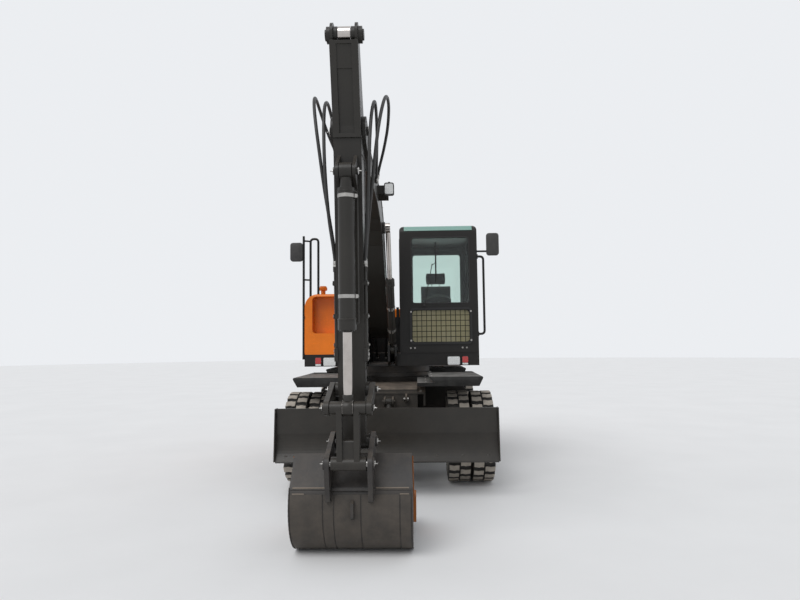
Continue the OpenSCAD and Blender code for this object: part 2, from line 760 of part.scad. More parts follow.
module cab_glass() {
    color([0.6, 0.8, 0.78, 0.5]) {
        intersection() {
            translate([screen_x[0], cab_y0 - 10, screen_z[0]])
                cube([screen_x[1] - screen_x[0], 200, screen_z[1] - screen_z[0]]);
            side(screen_x[0], screen_x[1]) difference() {
                cab_outline(20);
                cab_outline(20 + glass_t);
            }
        }
        translate([screen_x[0], cab_y0 + 20, low_z[0]])
            cube([screen_x[1] - screen_x[0], glass_t, low_z[1] - low_z[0]]);
        translate([cab_x1 - 26, door_y1 + 90, sill_z])
            cube([glass_t, cab_y1 - door_y1 - 180, screen_z[1] - sill_z]);
        translate([cab_x0 + 20, door_y0, sill_z])
            cube([glass_t, cab_l - 200, screen_z[1] - sill_z]);
        translate([screen_x[0], cab_y1 - 26, sill_z + 90])
            cube([screen_x[1] - screen_x[0], glass_t, screen_z[1] - sill_z - 90]);
    }
}
door_gap = 5;
door_win = 70;
module cab_door() {
    y0 = door_y0 + door_gap;
    y1 = door_y1 - door_gap;
    color([0.22, 0.23, 0.24]) {
        difference() {
            translate([cab_x1 - cab_wall, y0, door_z0 + door_gap])
                cube([cab_wall, y1 - y0, door_z1 - door_z0 - 2 * door_gap]);
            translate([cab_x1 - cab_wall - 1, y0 + door_win, sill_z + 40])
                cube([cab_wall + 2, y1 - y0 - 2 * door_win, door_z1 - sill_z - 40 - door_win]);
            translate([cab_x1 - cab_wall - 1, y0 + door_win, door_z0 + 120])
                cube([cab_wall + 2, y1 - y0 - 2 * door_win, sill_z - door_z0 - 190]);
        }
        translate([cab_x1, y0 + 15, 2200]) cube([28, 40, 110]);
        hinge_door_half(hinge_x, door_y1, -1, door_hinge_z);
    }
}
module door_glass() {
    y0 = door_y0 + door_gap;
    y1 = door_y1 - door_gap;
    color([0.6, 0.8, 0.78, 0.5]) {
        translate([cab_x1 - 26, y0 + door_win, sill_z + 40])
            cube([glass_t, y1 - y0 - 2 * door_win, door_z1 - sill_z - 40 - door_win]);
        translate([cab_x1 - 26, y0 + door_win, door_z0 + 120])
            cube([glass_t, y1 - y0 - 2 * door_win, sill_z - door_z0 - 190]);
    }
}
module front_guard() {
    color([0.1, 0.1, 0.1])
        difference() {
            w = screen_x[1] - screen_x[0] + 40;
            h = low_z[1] - low_z[0] + 40;
            translate([screen_x[0] - 20, cab_y0 - 25, low_z[0] - 20]) cube([w, 24.7, h]);
            for (i = [0:9], j = [0:5])
                translate([screen_x[0] + 5 + (w - 50) / 10 * i, cab_y0 - 26, low_z[0] + 5 + (h - 50) / 6 * j])
                    cube([(w - 50) / 10 - 12, 30, (h - 50) / 6 - 12]);
        }
}
seat_x = (cab_x0 + cab_x1) / 2;
floor_z = deck_top + cab_wall;
module seat() {
    color([0.1, 0.1, 0.1]) translate([seat_x, 250, floor_z]) {
        translate([-180, -180, 0]) cube([360, 400, 300]);
        translate([-240, -260, 300]) cube([480, 500, 130]);
        translate([-230, 200, 430]) cube([460, 120, 560]);
    }
}
module console() {
    color([0.2, 0.2, 0.2]) {
        for (s = [-1, 1])
            translate([seat_x + s * 330 - 70, 20, floor_z]) cube([140, 450, 560]);
        translate([seat_x - 60, -620, floor_z]) cube([120, 120, 500]);
        translate([seat_x, -560, floor_z + 490]) rotate([-20, 0, 0]) {
            cylinder(d = 50, h = 160);
            translate([0, 0, 140]) cylinder(d = 340, h = 30);
        }
    }
}
rail_d = 30;
// Height of the side body's rounded face at the distance x from the middle plane
function body_face_z(x) = body_top - body_r + sqrt(body_r * body_r - pow(max(0, x - house_half + body_r), 2));
module rail_post(x, y, z0, z1) {
    translate([x, y, z0]) cylinder(d = rail_d, h = z1 - z0);
}
module handrails() {
    color([0.08, 0.08, 0.08]) {
        rail_post(cab_x1 + 50, cab_y0 + 20, 1680, 2655);
        for (z = [1700, 2620]) translate([cab_x1, cab_y0 + 5, z]) cube([50, 30, 30]);
        rail_post(-house_half - 20, cab_y0 + 15, deck_top - 40, 2880);
        for (z = [deck_top, 1900]) translate([-house_half - 20, cab_y0, z]) cube([20, 30, 30]);
        rail_post(-house_half + 60, cab_y0 + 15, body_face_z(house_half - 60 - rail_d / 2) + pin_fit, 2860);
        translate([-house_half - 20, cab_y0, 2850]) cube([80, 30, 30]);
    }
}
module mirrors() {
    color([0.08, 0.08, 0.08]) {
        translate([1215, -790, 2650]) cube([158, 50, 270]);
        translate([cab_x1, -760, 2870]) cube([130, 30, 30]);
        translate([-1280.3, -800, 2600]) cube([150, 50, 220]);
    }
}
module lamps() {
    color("white") {
        for (x = [850, -890]) translate([x - 70, -house_front - 25, house_z + 30]) cube([140, 25, 85]);
    }
}
module exhaust() {
    color("gray") translate([-600, bay_rear + 90, hood_top - 60]) cylinder(d = 80, h = 260);
}

// Boom: box section with a gooseneck, foot boss, fork at the arm's pivot, cylinder brackets
pivot_pin_d = 70;
fork_gap = arm_w / 2 + side_gap;
fork_t = 28;
fork_l = 380;
module boom_profile() {
    top = [[200, 200], [1250, 690], [1500, 755], [1750, 760], [2100, 690], [boom_len - fork_l, 165]];
    bottom = [[boom_len - fork_l, -75], [2400, 290], [2000, 380], [1750, 395], [1500, 360], [1100, 215], [200, -60]];
    polygon([for (p = concat(top, bottom)) bp(p[0], p[1])]);
}
module boom() {
    color("dimgray") {
        difference() {
            union() {
                side(boom_x - boom_w / 2, boom_x + boom_w / 2) {
                    boom_profile();
                    ear2d(foot, 190, bp(280, 190), bp(280, -30));
                }
                bar(boom_x - foot_w / 2, boom_x + foot_w / 2, foot, 184);
                translate([boom_x, 0, 0]) both() side(fork_gap, fork_gap + fork_t)
                    ear2d(pivot, 220, bp(boom_len - fork_l - 40, 180), bp(boom_len - fork_l - 40, -60));
                translate([boom_x, 0, 0]) both() side(50, 75)
                    ear2d(arm_cyl_base, 130, bp(1200, 640), bp(1650, 720));
                bar(boom_x - cyl_off + cyl_eye_w / 2 + side_gap, boom_x + cyl_off - cyl_eye_w / 2 - side_gap, boom_cyl_eye, 130);
            }
            bar(boom_x - 300, boom_x + 300, foot, foot_pin_d + 2 * pin_fit);
            bar(boom_x - 300, boom_x + 300, arm_cyl_base, 60 + pin_fit);
        }
        bar(boom_x - fork_gap - fork_t - 15, boom_x + fork_gap + fork_t + 15, pivot, pivot_pin_d);
        bar(boom_x - 90, boom_x + 90, arm_cyl_base, 60);
    }
}
module boom_barrels() {
    color("dimgray") for (s = [-1, 1])
        barrel_half(boom_x + s * cyl_off, boom_cyl_base, boom_cyl_eye, 130, 1000, 96, 55, cyl_eye_w, 110, cyl_pin_d);
}
module boom_rods() {
    color("silver") for (s = [-1, 1])
        rod_half(boom_x + s * cyl_off, boom_cyl_base, boom_cyl_eye, 850, 55, cyl_eye_w, 110, 50);
}

// Arm: box section from its top fork to the tip boss
module arm_profile() {
    e = [-arm_top_r * cos(arm_top_a), arm_top_r * sin(arm_top_a)];
    pts = [
        [e[0] + 60, e[1] + 75], [0, 165], [360, 140], [1300, 95], [1560, 64], [arm_len - link_gap - 60, 60],
        [arm_len, 60], [arm_len, -60], [arm_len - link_gap - 60, -70], [1300, -115], [360, -150], [0, -150],
        [-160, -120], [e[0] - 10, e[1] - 80]
    ];
    polygon([for (p = pts) ap(p[0], p[1])]);
}
tip_boss_d = 120;
arm_slot_r = 240;
module arm() {
    color("dimgray") {
        difference() {
            union() {
                side(boom_x - arm_w / 2, boom_x + arm_w / 2) {
                    arm_profile();
                    translate(arm_cyl_eye) circle(d = 170);
                    translate(tip) circle(d = tip_boss_d);
                    translate(pivot) circle(d = 280);
                }
                bar(boom_x - 127, boom_x + 127, tip, tip_boss_d - 4);
                bar(boom_x - 130, boom_x + 130, link_pin, 110);
                translate([boom_x, 0, 0]) both() side(50, 75)
                    ear2d(bucket_cyl_base, 110, ap(200, 120), ap(560, 100));
            }
            side(boom_x - 80, boom_x + 80)
                translate(arm_cyl_eye) circle(r = arm_slot_r);
            bar(boom_x - 300, boom_x + 300, pivot, pivot_pin_d + 2 * pin_fit);
            bar(boom_x - 300, boom_x + 300, tip, 50 + 2 * pin_fit);
            bar(boom_x - 300, boom_x + 300, link_pin, 50 + pin_fit);
            bar(boom_x - 300, boom_x + 300, bucket_cyl_base, 55 + pin_fit);
        }
        translate([boom_x, 0, 0]) both() {
            bar(45 + side_gap, 130, arm_cyl_eye, 120);
            bar(129, 142, arm_cyl_eye, 80);
        }
        bar(boom_x - 190, boom_x + 190, link_pin, 50);
        bar(boom_x - 90, boom_x + 90, bucket_cyl_base, 55);
    }
}
module arm_barrel() {
    color("dimgray") barrel_half(boom_x, arm_cyl_base, arm_cyl_eye, 150, 1480, 110, 65, 90, 130, 60);
}
module arm_rod() {
    color("silver") rod_half(boom_x, arm_cyl_base, arm_cyl_eye, 1350, 65, 90, 120, 56);
}
module bucket_barrel() {
    color("dimgray") barrel_half(boom_x, bucket_cyl_base, rod_pin, 125, 1150, 120, 65, 90, 120, 55);
}
module bucket_rod() {
    color("silver") rod_half(boom_x, bucket_cyl_base, rod_pin, 1000, 65, 76, 115, 50);
}

// Bucket linkage and bucket
ear_in = 132;
ear_t = 40;
module guide_links() {
    color("dimgray") translate([boom_x, 0, 0])
        difference() {
            both() side(ear_in + 2, ear_in + ear_t)
                link2d(link_pin, rod_pin, 110, 110);
            bar(-300, 300, link_pin, 50 + 2 * pin_fit);
            bar(-300, 300, rod_pin, 50 + 2 * pin_fit);
        }
}
module h_link() {
    color("dimgray") translate([boom_x, 0, 0]) {
        difference() {
            union() {
                both() {
                    side(42, 82) link2d(rod_pin, bucket_pin2, 92, 88);
                    bar(42, 130, rod_pin, 94);
                }
                bar(-127, 127, bucket_pin2, 100);
                side(-42, 42)
                    link2d(bucket_pin2, rod_pin + 0.62 * (bucket_pin2 - rod_pin), 60, 40);
            }
            bar(-300, 300, bucket_pin2, 50 + 2 * pin_fit);
            bar(-300, 300, rod_pin, 50);
        }
        both() bar(44, 186, rod_pin, 50);
    }
}
lip = [-3690, 742];
bend = [-4090, 610];
shell_r = 340;
shell_c = [-3785, shell_r + 4];
edge = [-2990, 135];
tooth_tip = [-2850, 150];
bucket_pts = concat([lip, bend], arc(shell_c, shell_r, 166, 268, 8), [edge]);
function seg_n(a, b) = let (d = unit(b - a)) [d[1], -d[0]];
function inset_pt(p, i, t) = let (
    n0 = seg_n(p[max(i - 1, 0)], p[max(i, 1)]),
    n1 = seg_n(p[min(i, len(p) - 2)], p[min(i + 1, len(p) - 1)]),
    n = n0 + n1) p[i] - n * t * 2 / (n * n);
module bucket() {
    color("dimgray") translate([boom_x, 0, 0]) {
        n = len(bucket_pts);
        inner = [for (i = [n - 1:-1:0]) inset_pt(bucket_pts, i, bucket_t)];
        side(-bucket_w / 2, bucket_w / 2) polygon(concat(bucket_pts, inner));
        both() side(bucket_w / 2 - bucket_t, bucket_w / 2) polygon(bucket_pts);
        both() side(ear_in, ear_in + ear_t)
            union() {
                link2d(tip, bucket_pin2, 150, 120);
                ear2d(bucket_pin2, 120, tip + [0, -60], bend + [0, -8]);
                polygon([tip, bucket_pin2, bend + [4, -8], lip + [0, -6]]);
            }
        bar(-ear_in - ear_t - 14, ear_in + ear_t + 14, tip, 50);
        bar(-ear_in - ear_t - 14, ear_in + ear_t + 14, bucket_pin2, 50);
        for (i = [0:tooth_count - 1])
            side(-bucket_w / 2 + (bucket_w - 70) / (tooth_count - 1) * i, -bucket_w / 2 + 70 + (bucket_w - 70) / (tooth_count - 1) * i)
                polygon([edge + [-60, 40], tooth_tip, edge + [-60, -28]]);
        both() side(bucket_w / 2 - 1, bucket_w / 2 + 26)
            polygon([[-3060, 170], [-3060, 420], [-3150, 400], [-3150, 190]]);
    }
}

chassis_frame();
slew_ring();
front_axle();
rear_axle();
drive_line();
mudguards();
side_boxes();
knuckle_left();
knuckle_right();
tie_rod();
rims_front_left();
rims_front_right();
rims_rear_left();
rims_rear_right();
tyres_front_left();
tyres_front_right();
tyres_rear_left();
tyres_rear_right();
blade_lower_links();
blade_upper_links();
blade_panel();
blade_barrel();
blade_rod();
upper_frame();
counterweight();
engine_block();
engine_hood();
side_door_left();
side_door_right();
side_body();
cab_frame();
cab_glass();
cab_door();
door_glass();
front_guard();
seat();
console();
handrails();
mirrors();
lamps();
exhaust();
boom();
boom_barrels();
boom_rods();
arm();
arm_barrel();
arm_rod();
bucket();
bucket_barrel();
bucket_rod();
guide_links();
h_link();
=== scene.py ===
"""Looks of a wheeled excavator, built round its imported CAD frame."""

import json
from math import atan2, cos, hypot, pi, radians, sin

import bmesh
import bpy
from mathutils import Matrix, Vector


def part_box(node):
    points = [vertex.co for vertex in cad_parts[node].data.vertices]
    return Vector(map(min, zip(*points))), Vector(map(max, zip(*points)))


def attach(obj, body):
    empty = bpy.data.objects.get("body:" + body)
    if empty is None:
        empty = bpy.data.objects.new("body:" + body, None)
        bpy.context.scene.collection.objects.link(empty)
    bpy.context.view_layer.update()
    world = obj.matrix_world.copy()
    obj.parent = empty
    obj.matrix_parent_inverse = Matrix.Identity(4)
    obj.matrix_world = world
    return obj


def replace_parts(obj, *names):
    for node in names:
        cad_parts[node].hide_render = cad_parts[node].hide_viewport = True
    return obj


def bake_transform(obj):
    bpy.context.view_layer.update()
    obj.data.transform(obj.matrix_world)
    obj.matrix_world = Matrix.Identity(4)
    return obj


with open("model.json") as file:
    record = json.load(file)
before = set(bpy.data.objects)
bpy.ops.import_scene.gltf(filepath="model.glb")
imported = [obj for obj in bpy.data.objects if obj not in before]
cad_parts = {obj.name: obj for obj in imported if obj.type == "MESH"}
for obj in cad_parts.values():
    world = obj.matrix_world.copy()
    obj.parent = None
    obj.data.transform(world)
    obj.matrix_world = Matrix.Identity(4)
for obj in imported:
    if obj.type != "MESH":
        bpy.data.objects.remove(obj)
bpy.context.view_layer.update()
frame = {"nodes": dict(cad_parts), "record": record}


# Camera: the photograph's place, height, tilt and roll; sizes in pixels of its 800 x 600 frame
CAM_PLACE = (0.34, -8.34, 1.56)
FOCAL_PX = 600
PHOTO_W = 800
PHOTO_H = 600
SENSOR = 36
HORIZON_ROW = 345
VANISH_COLUMN = 418
ROLL = radians(0.6)


def make_camera():
    data = bpy.data.cameras.new("camera")
    data.sensor_width = SENSOR
    data.lens = SENSOR * FOCAL_PX / PHOTO_W
    pitch = atan2(HORIZON_ROW - PHOTO_H / 2, FOCAL_PX)
    yaw = atan2(VANISH_COLUMN - PHOTO_W / 2, FOCAL_PX)
    cam = bpy.data.objects.new("camera", data)
    turn = Matrix.Rotation(yaw, 4, "Z") @ Matrix.Rotation(pi / 2 + pitch, 4, "X")
    turn = turn @ Matrix.Rotation(-ROLL, 4, "Z")
    cam.matrix_world = Matrix.Translation(CAM_PLACE) @ turn
    bpy.context.scene.collection.objects.link(cam)
    bpy.context.scene.camera = cam


make_camera()


# Material helpers
def fill(tree, socket, value):
    """Set a number or a colour on a socket; link anything else to it."""
    if isinstance(value, tuple):
        socket.default_value = (*value, 1)
    elif isinstance(value, (int, float)):
        socket.default_value = value
    else:
        tree.links.new(value, socket)


def add(tree, kind, inputs, **values):
    """A node with its inputs filled; values are its own settings."""
    node = tree.nodes.new(kind)
    for key, value in values.items():
        setattr(node, key, value)
    for key, value in inputs.items():
        fill(tree, node.inputs[key], value)
    return node


def new_material(name):
    """A material, its tree and the coordinates that its textures start from."""
    mat = bpy.data.materials.new(name)
    mat.use_nodes = True
    return mat, mat.node_tree, add(mat.node_tree, "ShaderNodeTexCoord", {}).outputs


def settle(mat, sockets):
    """Fill the shader's sockets."""
    shader = mat.node_tree.nodes["Principled BSDF"]
    for key, value in sockets.items():
        fill(mat.node_tree, shader.inputs[key], value)
    return mat


def noise(tree, coords, scale, detail=3.0, rough=0.55):
    inputs = {"Scale": scale, "Detail": detail, "Roughness": rough, "Vector": coords}
    return add(tree, "ShaderNodeTexNoise", inputs).outputs["Fac"]


def remap(tree, value, low, high, to_low=0.0, to_high=1.0):
    inputs = {"Value": value, "From Min": low, "From Max": high, "To Min": to_low, "To Max": to_high}
    return add(tree, "ShaderNodeMapRange", inputs, clamp=True).outputs["Result"]


def calc(tree, operation, a, b):
    return add(tree, "ShaderNodeMath", {0: a, 1: b}, operation=operation).outputs[0]


def split(tree, vector):
    """A vector's X, Y and Z."""
    return add(tree, "ShaderNodeSeparateXYZ", {0: vector}).outputs


def mix(tree, factor, a, b):
    node = add(tree, "ShaderNodeMix", {"Factor": factor}, data_type="RGBA")
    for key, value in (("A", a), ("B", b)):
        fill(tree, [s for s in node.inputs if s.name == key and s.type == "RGBA"][0], value)
    return [s for s in node.outputs if s.type == "RGBA"][0]


def shade(colour, factor):
    return tuple(c * factor for c in colour)


def edge_mask(tree, radius):
    """1 along sharp edges, 0 on flats, and the rounded normal that softens them."""
    rounded = add(tree, "ShaderNodeBevel", {"Radius": radius}, samples=4).outputs["Normal"]
    flat = add(tree, "ShaderNodeNewGeometry", {}).outputs["Normal"]
    dot = add(tree, "ShaderNodeVectorMath", {0: rounded, 1: flat}, operation="DOT_PRODUCT")
    return remap(tree, dot.outputs["Value"], 0.995, 0.80), rounded


def bump(tree, height, strength, distance, normal=None):
    inputs = {"Strength": strength, "Distance": distance, "Height": height}
    if normal is not None:
        inputs["Normal"] = normal
    return add(tree, "ShaderNodeBump", inputs).outputs["Normal"]


DUST = (0.23, 0.185, 0.145)
STEEL = (0.12, 0.105, 0.09)


def painted(name, colour, rough, dust=0.35, wear=0.25, wear_colour=STEEL, coat=0.0, peel=0.06,
            edge=0.003, shine=0.3, dust_colour=DUST):
    """Paint on steel: cloudy tone, dust on what faces up and low down, rubbed edges, fine peel."""
    mat, tree, coords = new_material(name)
    place = coords["Object"]
    cloudy = noise(tree, place, 2.3, 4)
    fine = noise(tree, place, 38, 5, 0.65)
    tone = mix(tree, remap(tree, cloudy, 0.3, 0.7), shade(colour, 0.86), shade(colour, 1.14))
    tone = mix(tree, remap(tree, fine, 0.55, 0.75, 0, 0.35), tone, shade(colour, 1.5))
    top_dust = remap(tree, split(tree, coords["Normal"])["Z"], 0.35, 0.95, 0, 1)
    low_dust = remap(tree, split(tree, place)["Z"], 1.6, 0.2, 0, 0.45)
    patch = remap(tree, noise(tree, place, 7, 6, 0.7), 0.35, 0.68, 0.25, 1)
    amount = calc(tree, "MULTIPLY", calc(tree, "MAXIMUM", top_dust, low_dust), patch)
    amount = calc(tree, "MULTIPLY", amount, dust)
    tone = mix(tree, amount, tone, dust_colour)
    edges, rounded = edge_mask(tree, edge)
    chips = remap(tree, noise(tree, place, 26, 6, 0.75), 0.42, 0.62, 0, 1)
    rubbed = calc(tree, "MULTIPLY", calc(tree, "MULTIPLY", edges, chips), wear)
    tone = mix(tree, rubbed, tone, wear_colour)
    gloss = remap(tree, fine, 0.3, 0.7, rough - 0.06, rough + 0.08)
    gloss = calc(tree, "ADD", gloss, calc(tree, "MULTIPLY", amount, 0.4))
    return settle(mat, {
        "Base Color": tone, "Roughness": gloss, "Coat Weight": coat, "Coat Roughness": 0.2,
        "Specular IOR Level": shine, "Normal": bump(tree, fine, peel, 0.002, rounded),
    })


def metal(name, colour, rough, streak=0.0, grime=0.15):
    """Bare or plated metal with fine streaks and a little grime."""
    mat, tree, coords = new_material(name)
    smudge = noise(tree, coords["Object"], 9, 5, 0.6)
    tone = mix(tree, remap(tree, smudge, 0.45, 0.75, 0, grime), colour, (0.12, 0.09, 0.065))
    fine = noise(tree, coords["Object"], 160, 3)
    gloss = remap(tree, fine, 0.3, 0.7, max(rough - 0.05, 0.03), rough + 0.08 + streak)
    relief = bump(tree, fine, 0.03, 0.001, edge_mask(tree, 0.0015)[1])
    return settle(mat, {"Base Color": tone, "Roughness": gloss, "Metallic": 1.0, "Normal": relief})


def rubber(name, colour, dust, dust_colour, rough=0.75, scale=14):
    """Rubber with dust in cloudy patches, broken up by a finer noise."""
    mat, tree, coords = new_material(name)
    patch = noise(tree, coords["Object"], scale, 6, 0.7)
    fine = noise(tree, coords["Object"], 130, 4, 0.6)
    amount = remap(tree, patch, 0.36, 0.62, dust * 0.35, dust)
    amount = calc(tree, "MULTIPLY", amount, remap(tree, fine, 0.25, 0.6, 0.7, 1))
    return settle(mat, {
        "Base Color": mix(tree, amount, colour, dust_colour),
        "Roughness": remap(tree, fine, 0.3, 0.7, rough, rough + 0.15),
        "Normal": bump(tree, fine, 0.12, 0.002, edge_mask(tree, 0.003)[1]),
    })


def glass(name, tint, rough=0.02, clear=1.0):
    """Tinted pane: a thin sheet with a dusty film; clear is how much shows through."""
    mat, tree, coords = new_material(name)
    film = noise(tree, coords["Object"], 3.1, 6, 0.7)
    return settle(mat, {
        "Base Color": mix(tree, remap(tree, film, 0.45, 0.75, 0, 0.12), tint, (0.75, 0.74, 0.7)),
        "Roughness": remap(tree, film, 0.3, 0.8, rough, rough + 0.05),
        "Transmission Weight": clear, "IOR": 1.04, "Specular IOR Level": 1.0, "Coat Weight": 0.6,
        "Coat Roughness": 0.03,
    })


def tyre_rubber(name, colour, dust_colour):
    """Black rubber, pale dust on the blocks' faces, less on the walls; the tyre's axle is its own X."""
    mat, tree, coords = new_material(name)
    place = coords["Object"]
    parts = split(tree, place)
    across = add(tree, "ShaderNodeCombineXYZ", {"Y": parts["Y"], "Z": parts["Z"]})
    length = add(tree, "ShaderNodeVectorMath", {0: across.outputs[0]}, operation="LENGTH")
    radius = length.outputs["Value"]
    faces = remap(tree, radius, 0.502, 0.509, 0, 1)
    walls = remap(tree, radius, 0.47, 0.40, 0, 0.42)
    patch = noise(tree, place, 16, 6, 0.7)
    fine = noise(tree, place, 120, 4, 0.65)
    amount = calc(tree, "MAXIMUM", faces, walls)
    amount = calc(tree, "MULTIPLY", amount, remap(tree, patch, 0.30, 0.62, 0.75, 1))
    amount = calc(tree, "MULTIPLY", amount, remap(tree, fine, 0.25, 0.6, 0.86, 1))
    amount = calc(tree, "ADD", amount, remap(tree, patch, 0.45, 0.8, 0.02, 0.14))
    return settle(mat, {
        "Base Color": mix(tree, amount, colour, dust_colour),
        "Roughness": remap(tree, fine, 0.3, 0.7, 0.72, 0.9),
        "Normal": bump(tree, fine, 0.18, 0.002, edge_mask(tree, 0.003)[1]),
    })


def woven(name, colour):
    """Woven seat cloth: fine crossed threads and a little dust."""
    mat, tree, coords = new_material(name)
    place = coords["Object"]
    threads = []
    for direction in ("X", "Z"):
        inputs = {"Scale": 120, "Distortion": 0.6, "Vector": place}
        wave = add(tree, "ShaderNodeTexWave", inputs, wave_type="BANDS", bands_direction=direction)
        threads.append(wave.outputs["Fac"])
    weave = calc(tree, "MULTIPLY", threads[0], threads[1])
    wear = noise(tree, place, 6, 4)
    tone = mix(tree, remap(tree, weave, 0, 1), shade(colour, 0.6), shade(colour, 1.9))
    tone = mix(tree, remap(tree, wear, 0.5, 0.8, 0, 0.25), tone, (0.09, 0.085, 0.08))
    return settle(mat, {
        "Base Color": tone, "Roughness": 0.9, "Sheen Weight": 0.25, "Normal": bump(tree, weave, 0.3, 0.001),
    })


def lens(name, colour):
    """Lamp lens: moulded plastic with a clear glossy face."""
    mat, tree, coords = new_material(name)
    cells = noise(tree, coords["Object"], 160, 2)
    return settle(mat, {
        "Base Color": mix(tree, remap(tree, cells, 0.3, 0.7), shade(colour, 0.7), shade(colour, 1.2)),
        "Roughness": remap(tree, cells, 0.3, 0.7, 0.12, 0.2),
        "Coat Weight": 0.8, "Normal": bump(tree, cells, 0.2, 0.002),
    })


MATERIALS = {
    "dark_paint": painted("working_gear_paint", (0.022, 0.020, 0.017), 0.38, dust=0.16, wear=0.35, coat=0.1),
    "bucket_paint": painted(
        "bucket_paint", (0.026, 0.025, 0.025), 0.42, dust=0.40, wear=0.5, coat=0.05, edge=0.004
    ),
    "bucket_wear": painted("bucket_wear_steel", (0.038, 0.034, 0.030), 0.48, dust=0.5, wear=0.8, edge=0.005),
    "rubbed_edge": painted("rubbed_edge", (0.17, 0.14, 0.11), 0.5, dust=0.3, wear=0.4),
    "worn_orange": painted("worn_orange", (0.36, 0.105, 0.012), 0.5, dust=0.3, wear=0.8, edge=0.008),
    "cab_paint": painted(
        "cab_paint", (0.011, 0.010, 0.009), 0.36, dust=0.14, wear=0.12, coat=0.1, shine=0.25
    ),
    "chassis_paint": painted("chassis_paint", (0.020, 0.019, 0.017), 0.55, dust=0.85, wear=0.25),
    "black_paint": painted("black_paint", (0.008, 0.008, 0.008), 0.45, dust=0.5, wear=0.15),
    "guard_paint_dusty": painted(
        "mudguard_paint", (0.012, 0.012, 0.012), 0.5, dust=1.0, wear=0.2, dust_colour=(0.26, 0.25, 0.235)
    ),
    "guard_paint": painted("guard_rim_paint", (0.020, 0.020, 0.020), 0.40, dust=0.15, wear=0.2),
    "guard_wire": painted("guard_wire_paint", (0.016, 0.015, 0.011), 0.45, dust=0.1, wear=0.3),
    "orange_paint": painted(
        "orange_paint", (0.74, 0.170, 0.003), 0.32, dust=0.06, wear=0.1, wear_colour=(0.35, 0.08, 0.01),
        coat=0.15, peel=0.03
    ),
    "rim_paint": painted("rim_paint", (0.05, 0.048, 0.045), 0.5, dust=0.7, wear=0.3),
    "chrome": metal("chrome", (0.56, 0.52, 0.49), 0.14, grime=0.25),
    "plated": metal("plated_steel", (0.42, 0.41, 0.39), 0.32, 0.1, 0.35),
    "bright": metal("ground_pin_steel", (0.55, 0.54, 0.52), 0.24, 0.1, 0.25),
    "cast": metal("cast_iron", (0.10, 0.095, 0.09), 0.55, 0.1, 0.5),
    "exhaust": metal("exhaust_steel", (0.22, 0.19, 0.17), 0.42, 0.15, 0.7),
    # Near-black: soot together with the painted shade of the exhaust's open bore
    "soot_and_painted_bore_shade": rubber("soot_and_painted_bore_shade", (0.010, 0.009, 0.009), 0.15, (0.05, 0.045, 0.04), 0.9, 20),
    "tyre": tyre_rubber("tyre_rubber", (0.012, 0.012, 0.012), (0.42, 0.375, 0.320)),
    "hose_rubber": rubber("hose_rubber", (0.014, 0.014, 0.014), 0.12, (0.12, 0.11, 0.10), 0.42, 9),
    "seal": rubber("seal_rubber", (0.010, 0.010, 0.010), 0.12, (0.12, 0.11, 0.10), 0.6, 20),
    "glass": glass("tinted_glass", (0.74, 0.85, 0.81)),
    "dusty_glass": glass("dusty_glass", (0.46, 0.42, 0.24), 0.15, 0.35),
    # Roof strip: a tinted visor whose teal colour is a painted sky reflection
    "roof_tint_and_painted_reflection": rubber("roof_strip_painted_sky_reflection", (0.20, 0.37, 0.32), 0.10, (0.30, 0.32, 0.28), 0.22, 9),
    "mirror_glass": metal("mirror_glass", (0.86, 0.87, 0.88), 0.04, grime=0.1),
    "seat": woven("seat_cloth", (0.020, 0.020, 0.022)),
    "plastic": rubber("moulded_plastic", (0.022, 0.022, 0.023), 0.15, (0.15, 0.14, 0.12), 0.5),
    "lamp": lens("lamp_lens", (0.80, 0.81, 0.80)),
    "red_lens": lens("red_lens", (0.55, 0.012, 0.010)),
    "amber_lens": lens("amber_lens", (0.75, 0.22, 0.010)),
}
# The record's slot for each material that isn't one of its slots itself
SLOTS = {
    name: slot
    for slot, names in (
        ("dark_paint", ("bucket_paint", "bucket_wear", "rubbed_edge")),
        ("black_paint", ("guard_paint_dusty", "guard_paint", "guard_wire", "exhaust", "soot_and_painted_bore_shade")),
        ("chrome", ("plated", "bright", "mirror_glass")),
        ("lamp", ("red_lens", "amber_lens")),
        ("glass", ("roof_tint_and_painted_reflection", "dusty_glass")),
        ("orange_paint", ("worn_orange",)), ("tyre", ("hose_rubber",)), ("plastic", ("seal",)),
    )
    for name in names
}


def dress_nodes():
    """Give each CAD node that still shows the material of its slot."""
    for row in frame["record"]["subparts"]:
        node = frame["nodes"][row["node"]]
        mat = MATERIALS[row["material_slot"]]
        if not node.material_slots:
            node.data.materials.append(mat)
        for slot in node.material_slots:
            slot.material = mat


dress_nodes()


def mm_at(x, y, z):
    """A point given in millimetres."""
    return Vector((x, y, z)) / 1000


def circle(radius, sides):
    return [(radius * cos(2 * pi * k / sides), radius * sin(2 * pi * k / sides)) for k in range(sides)]


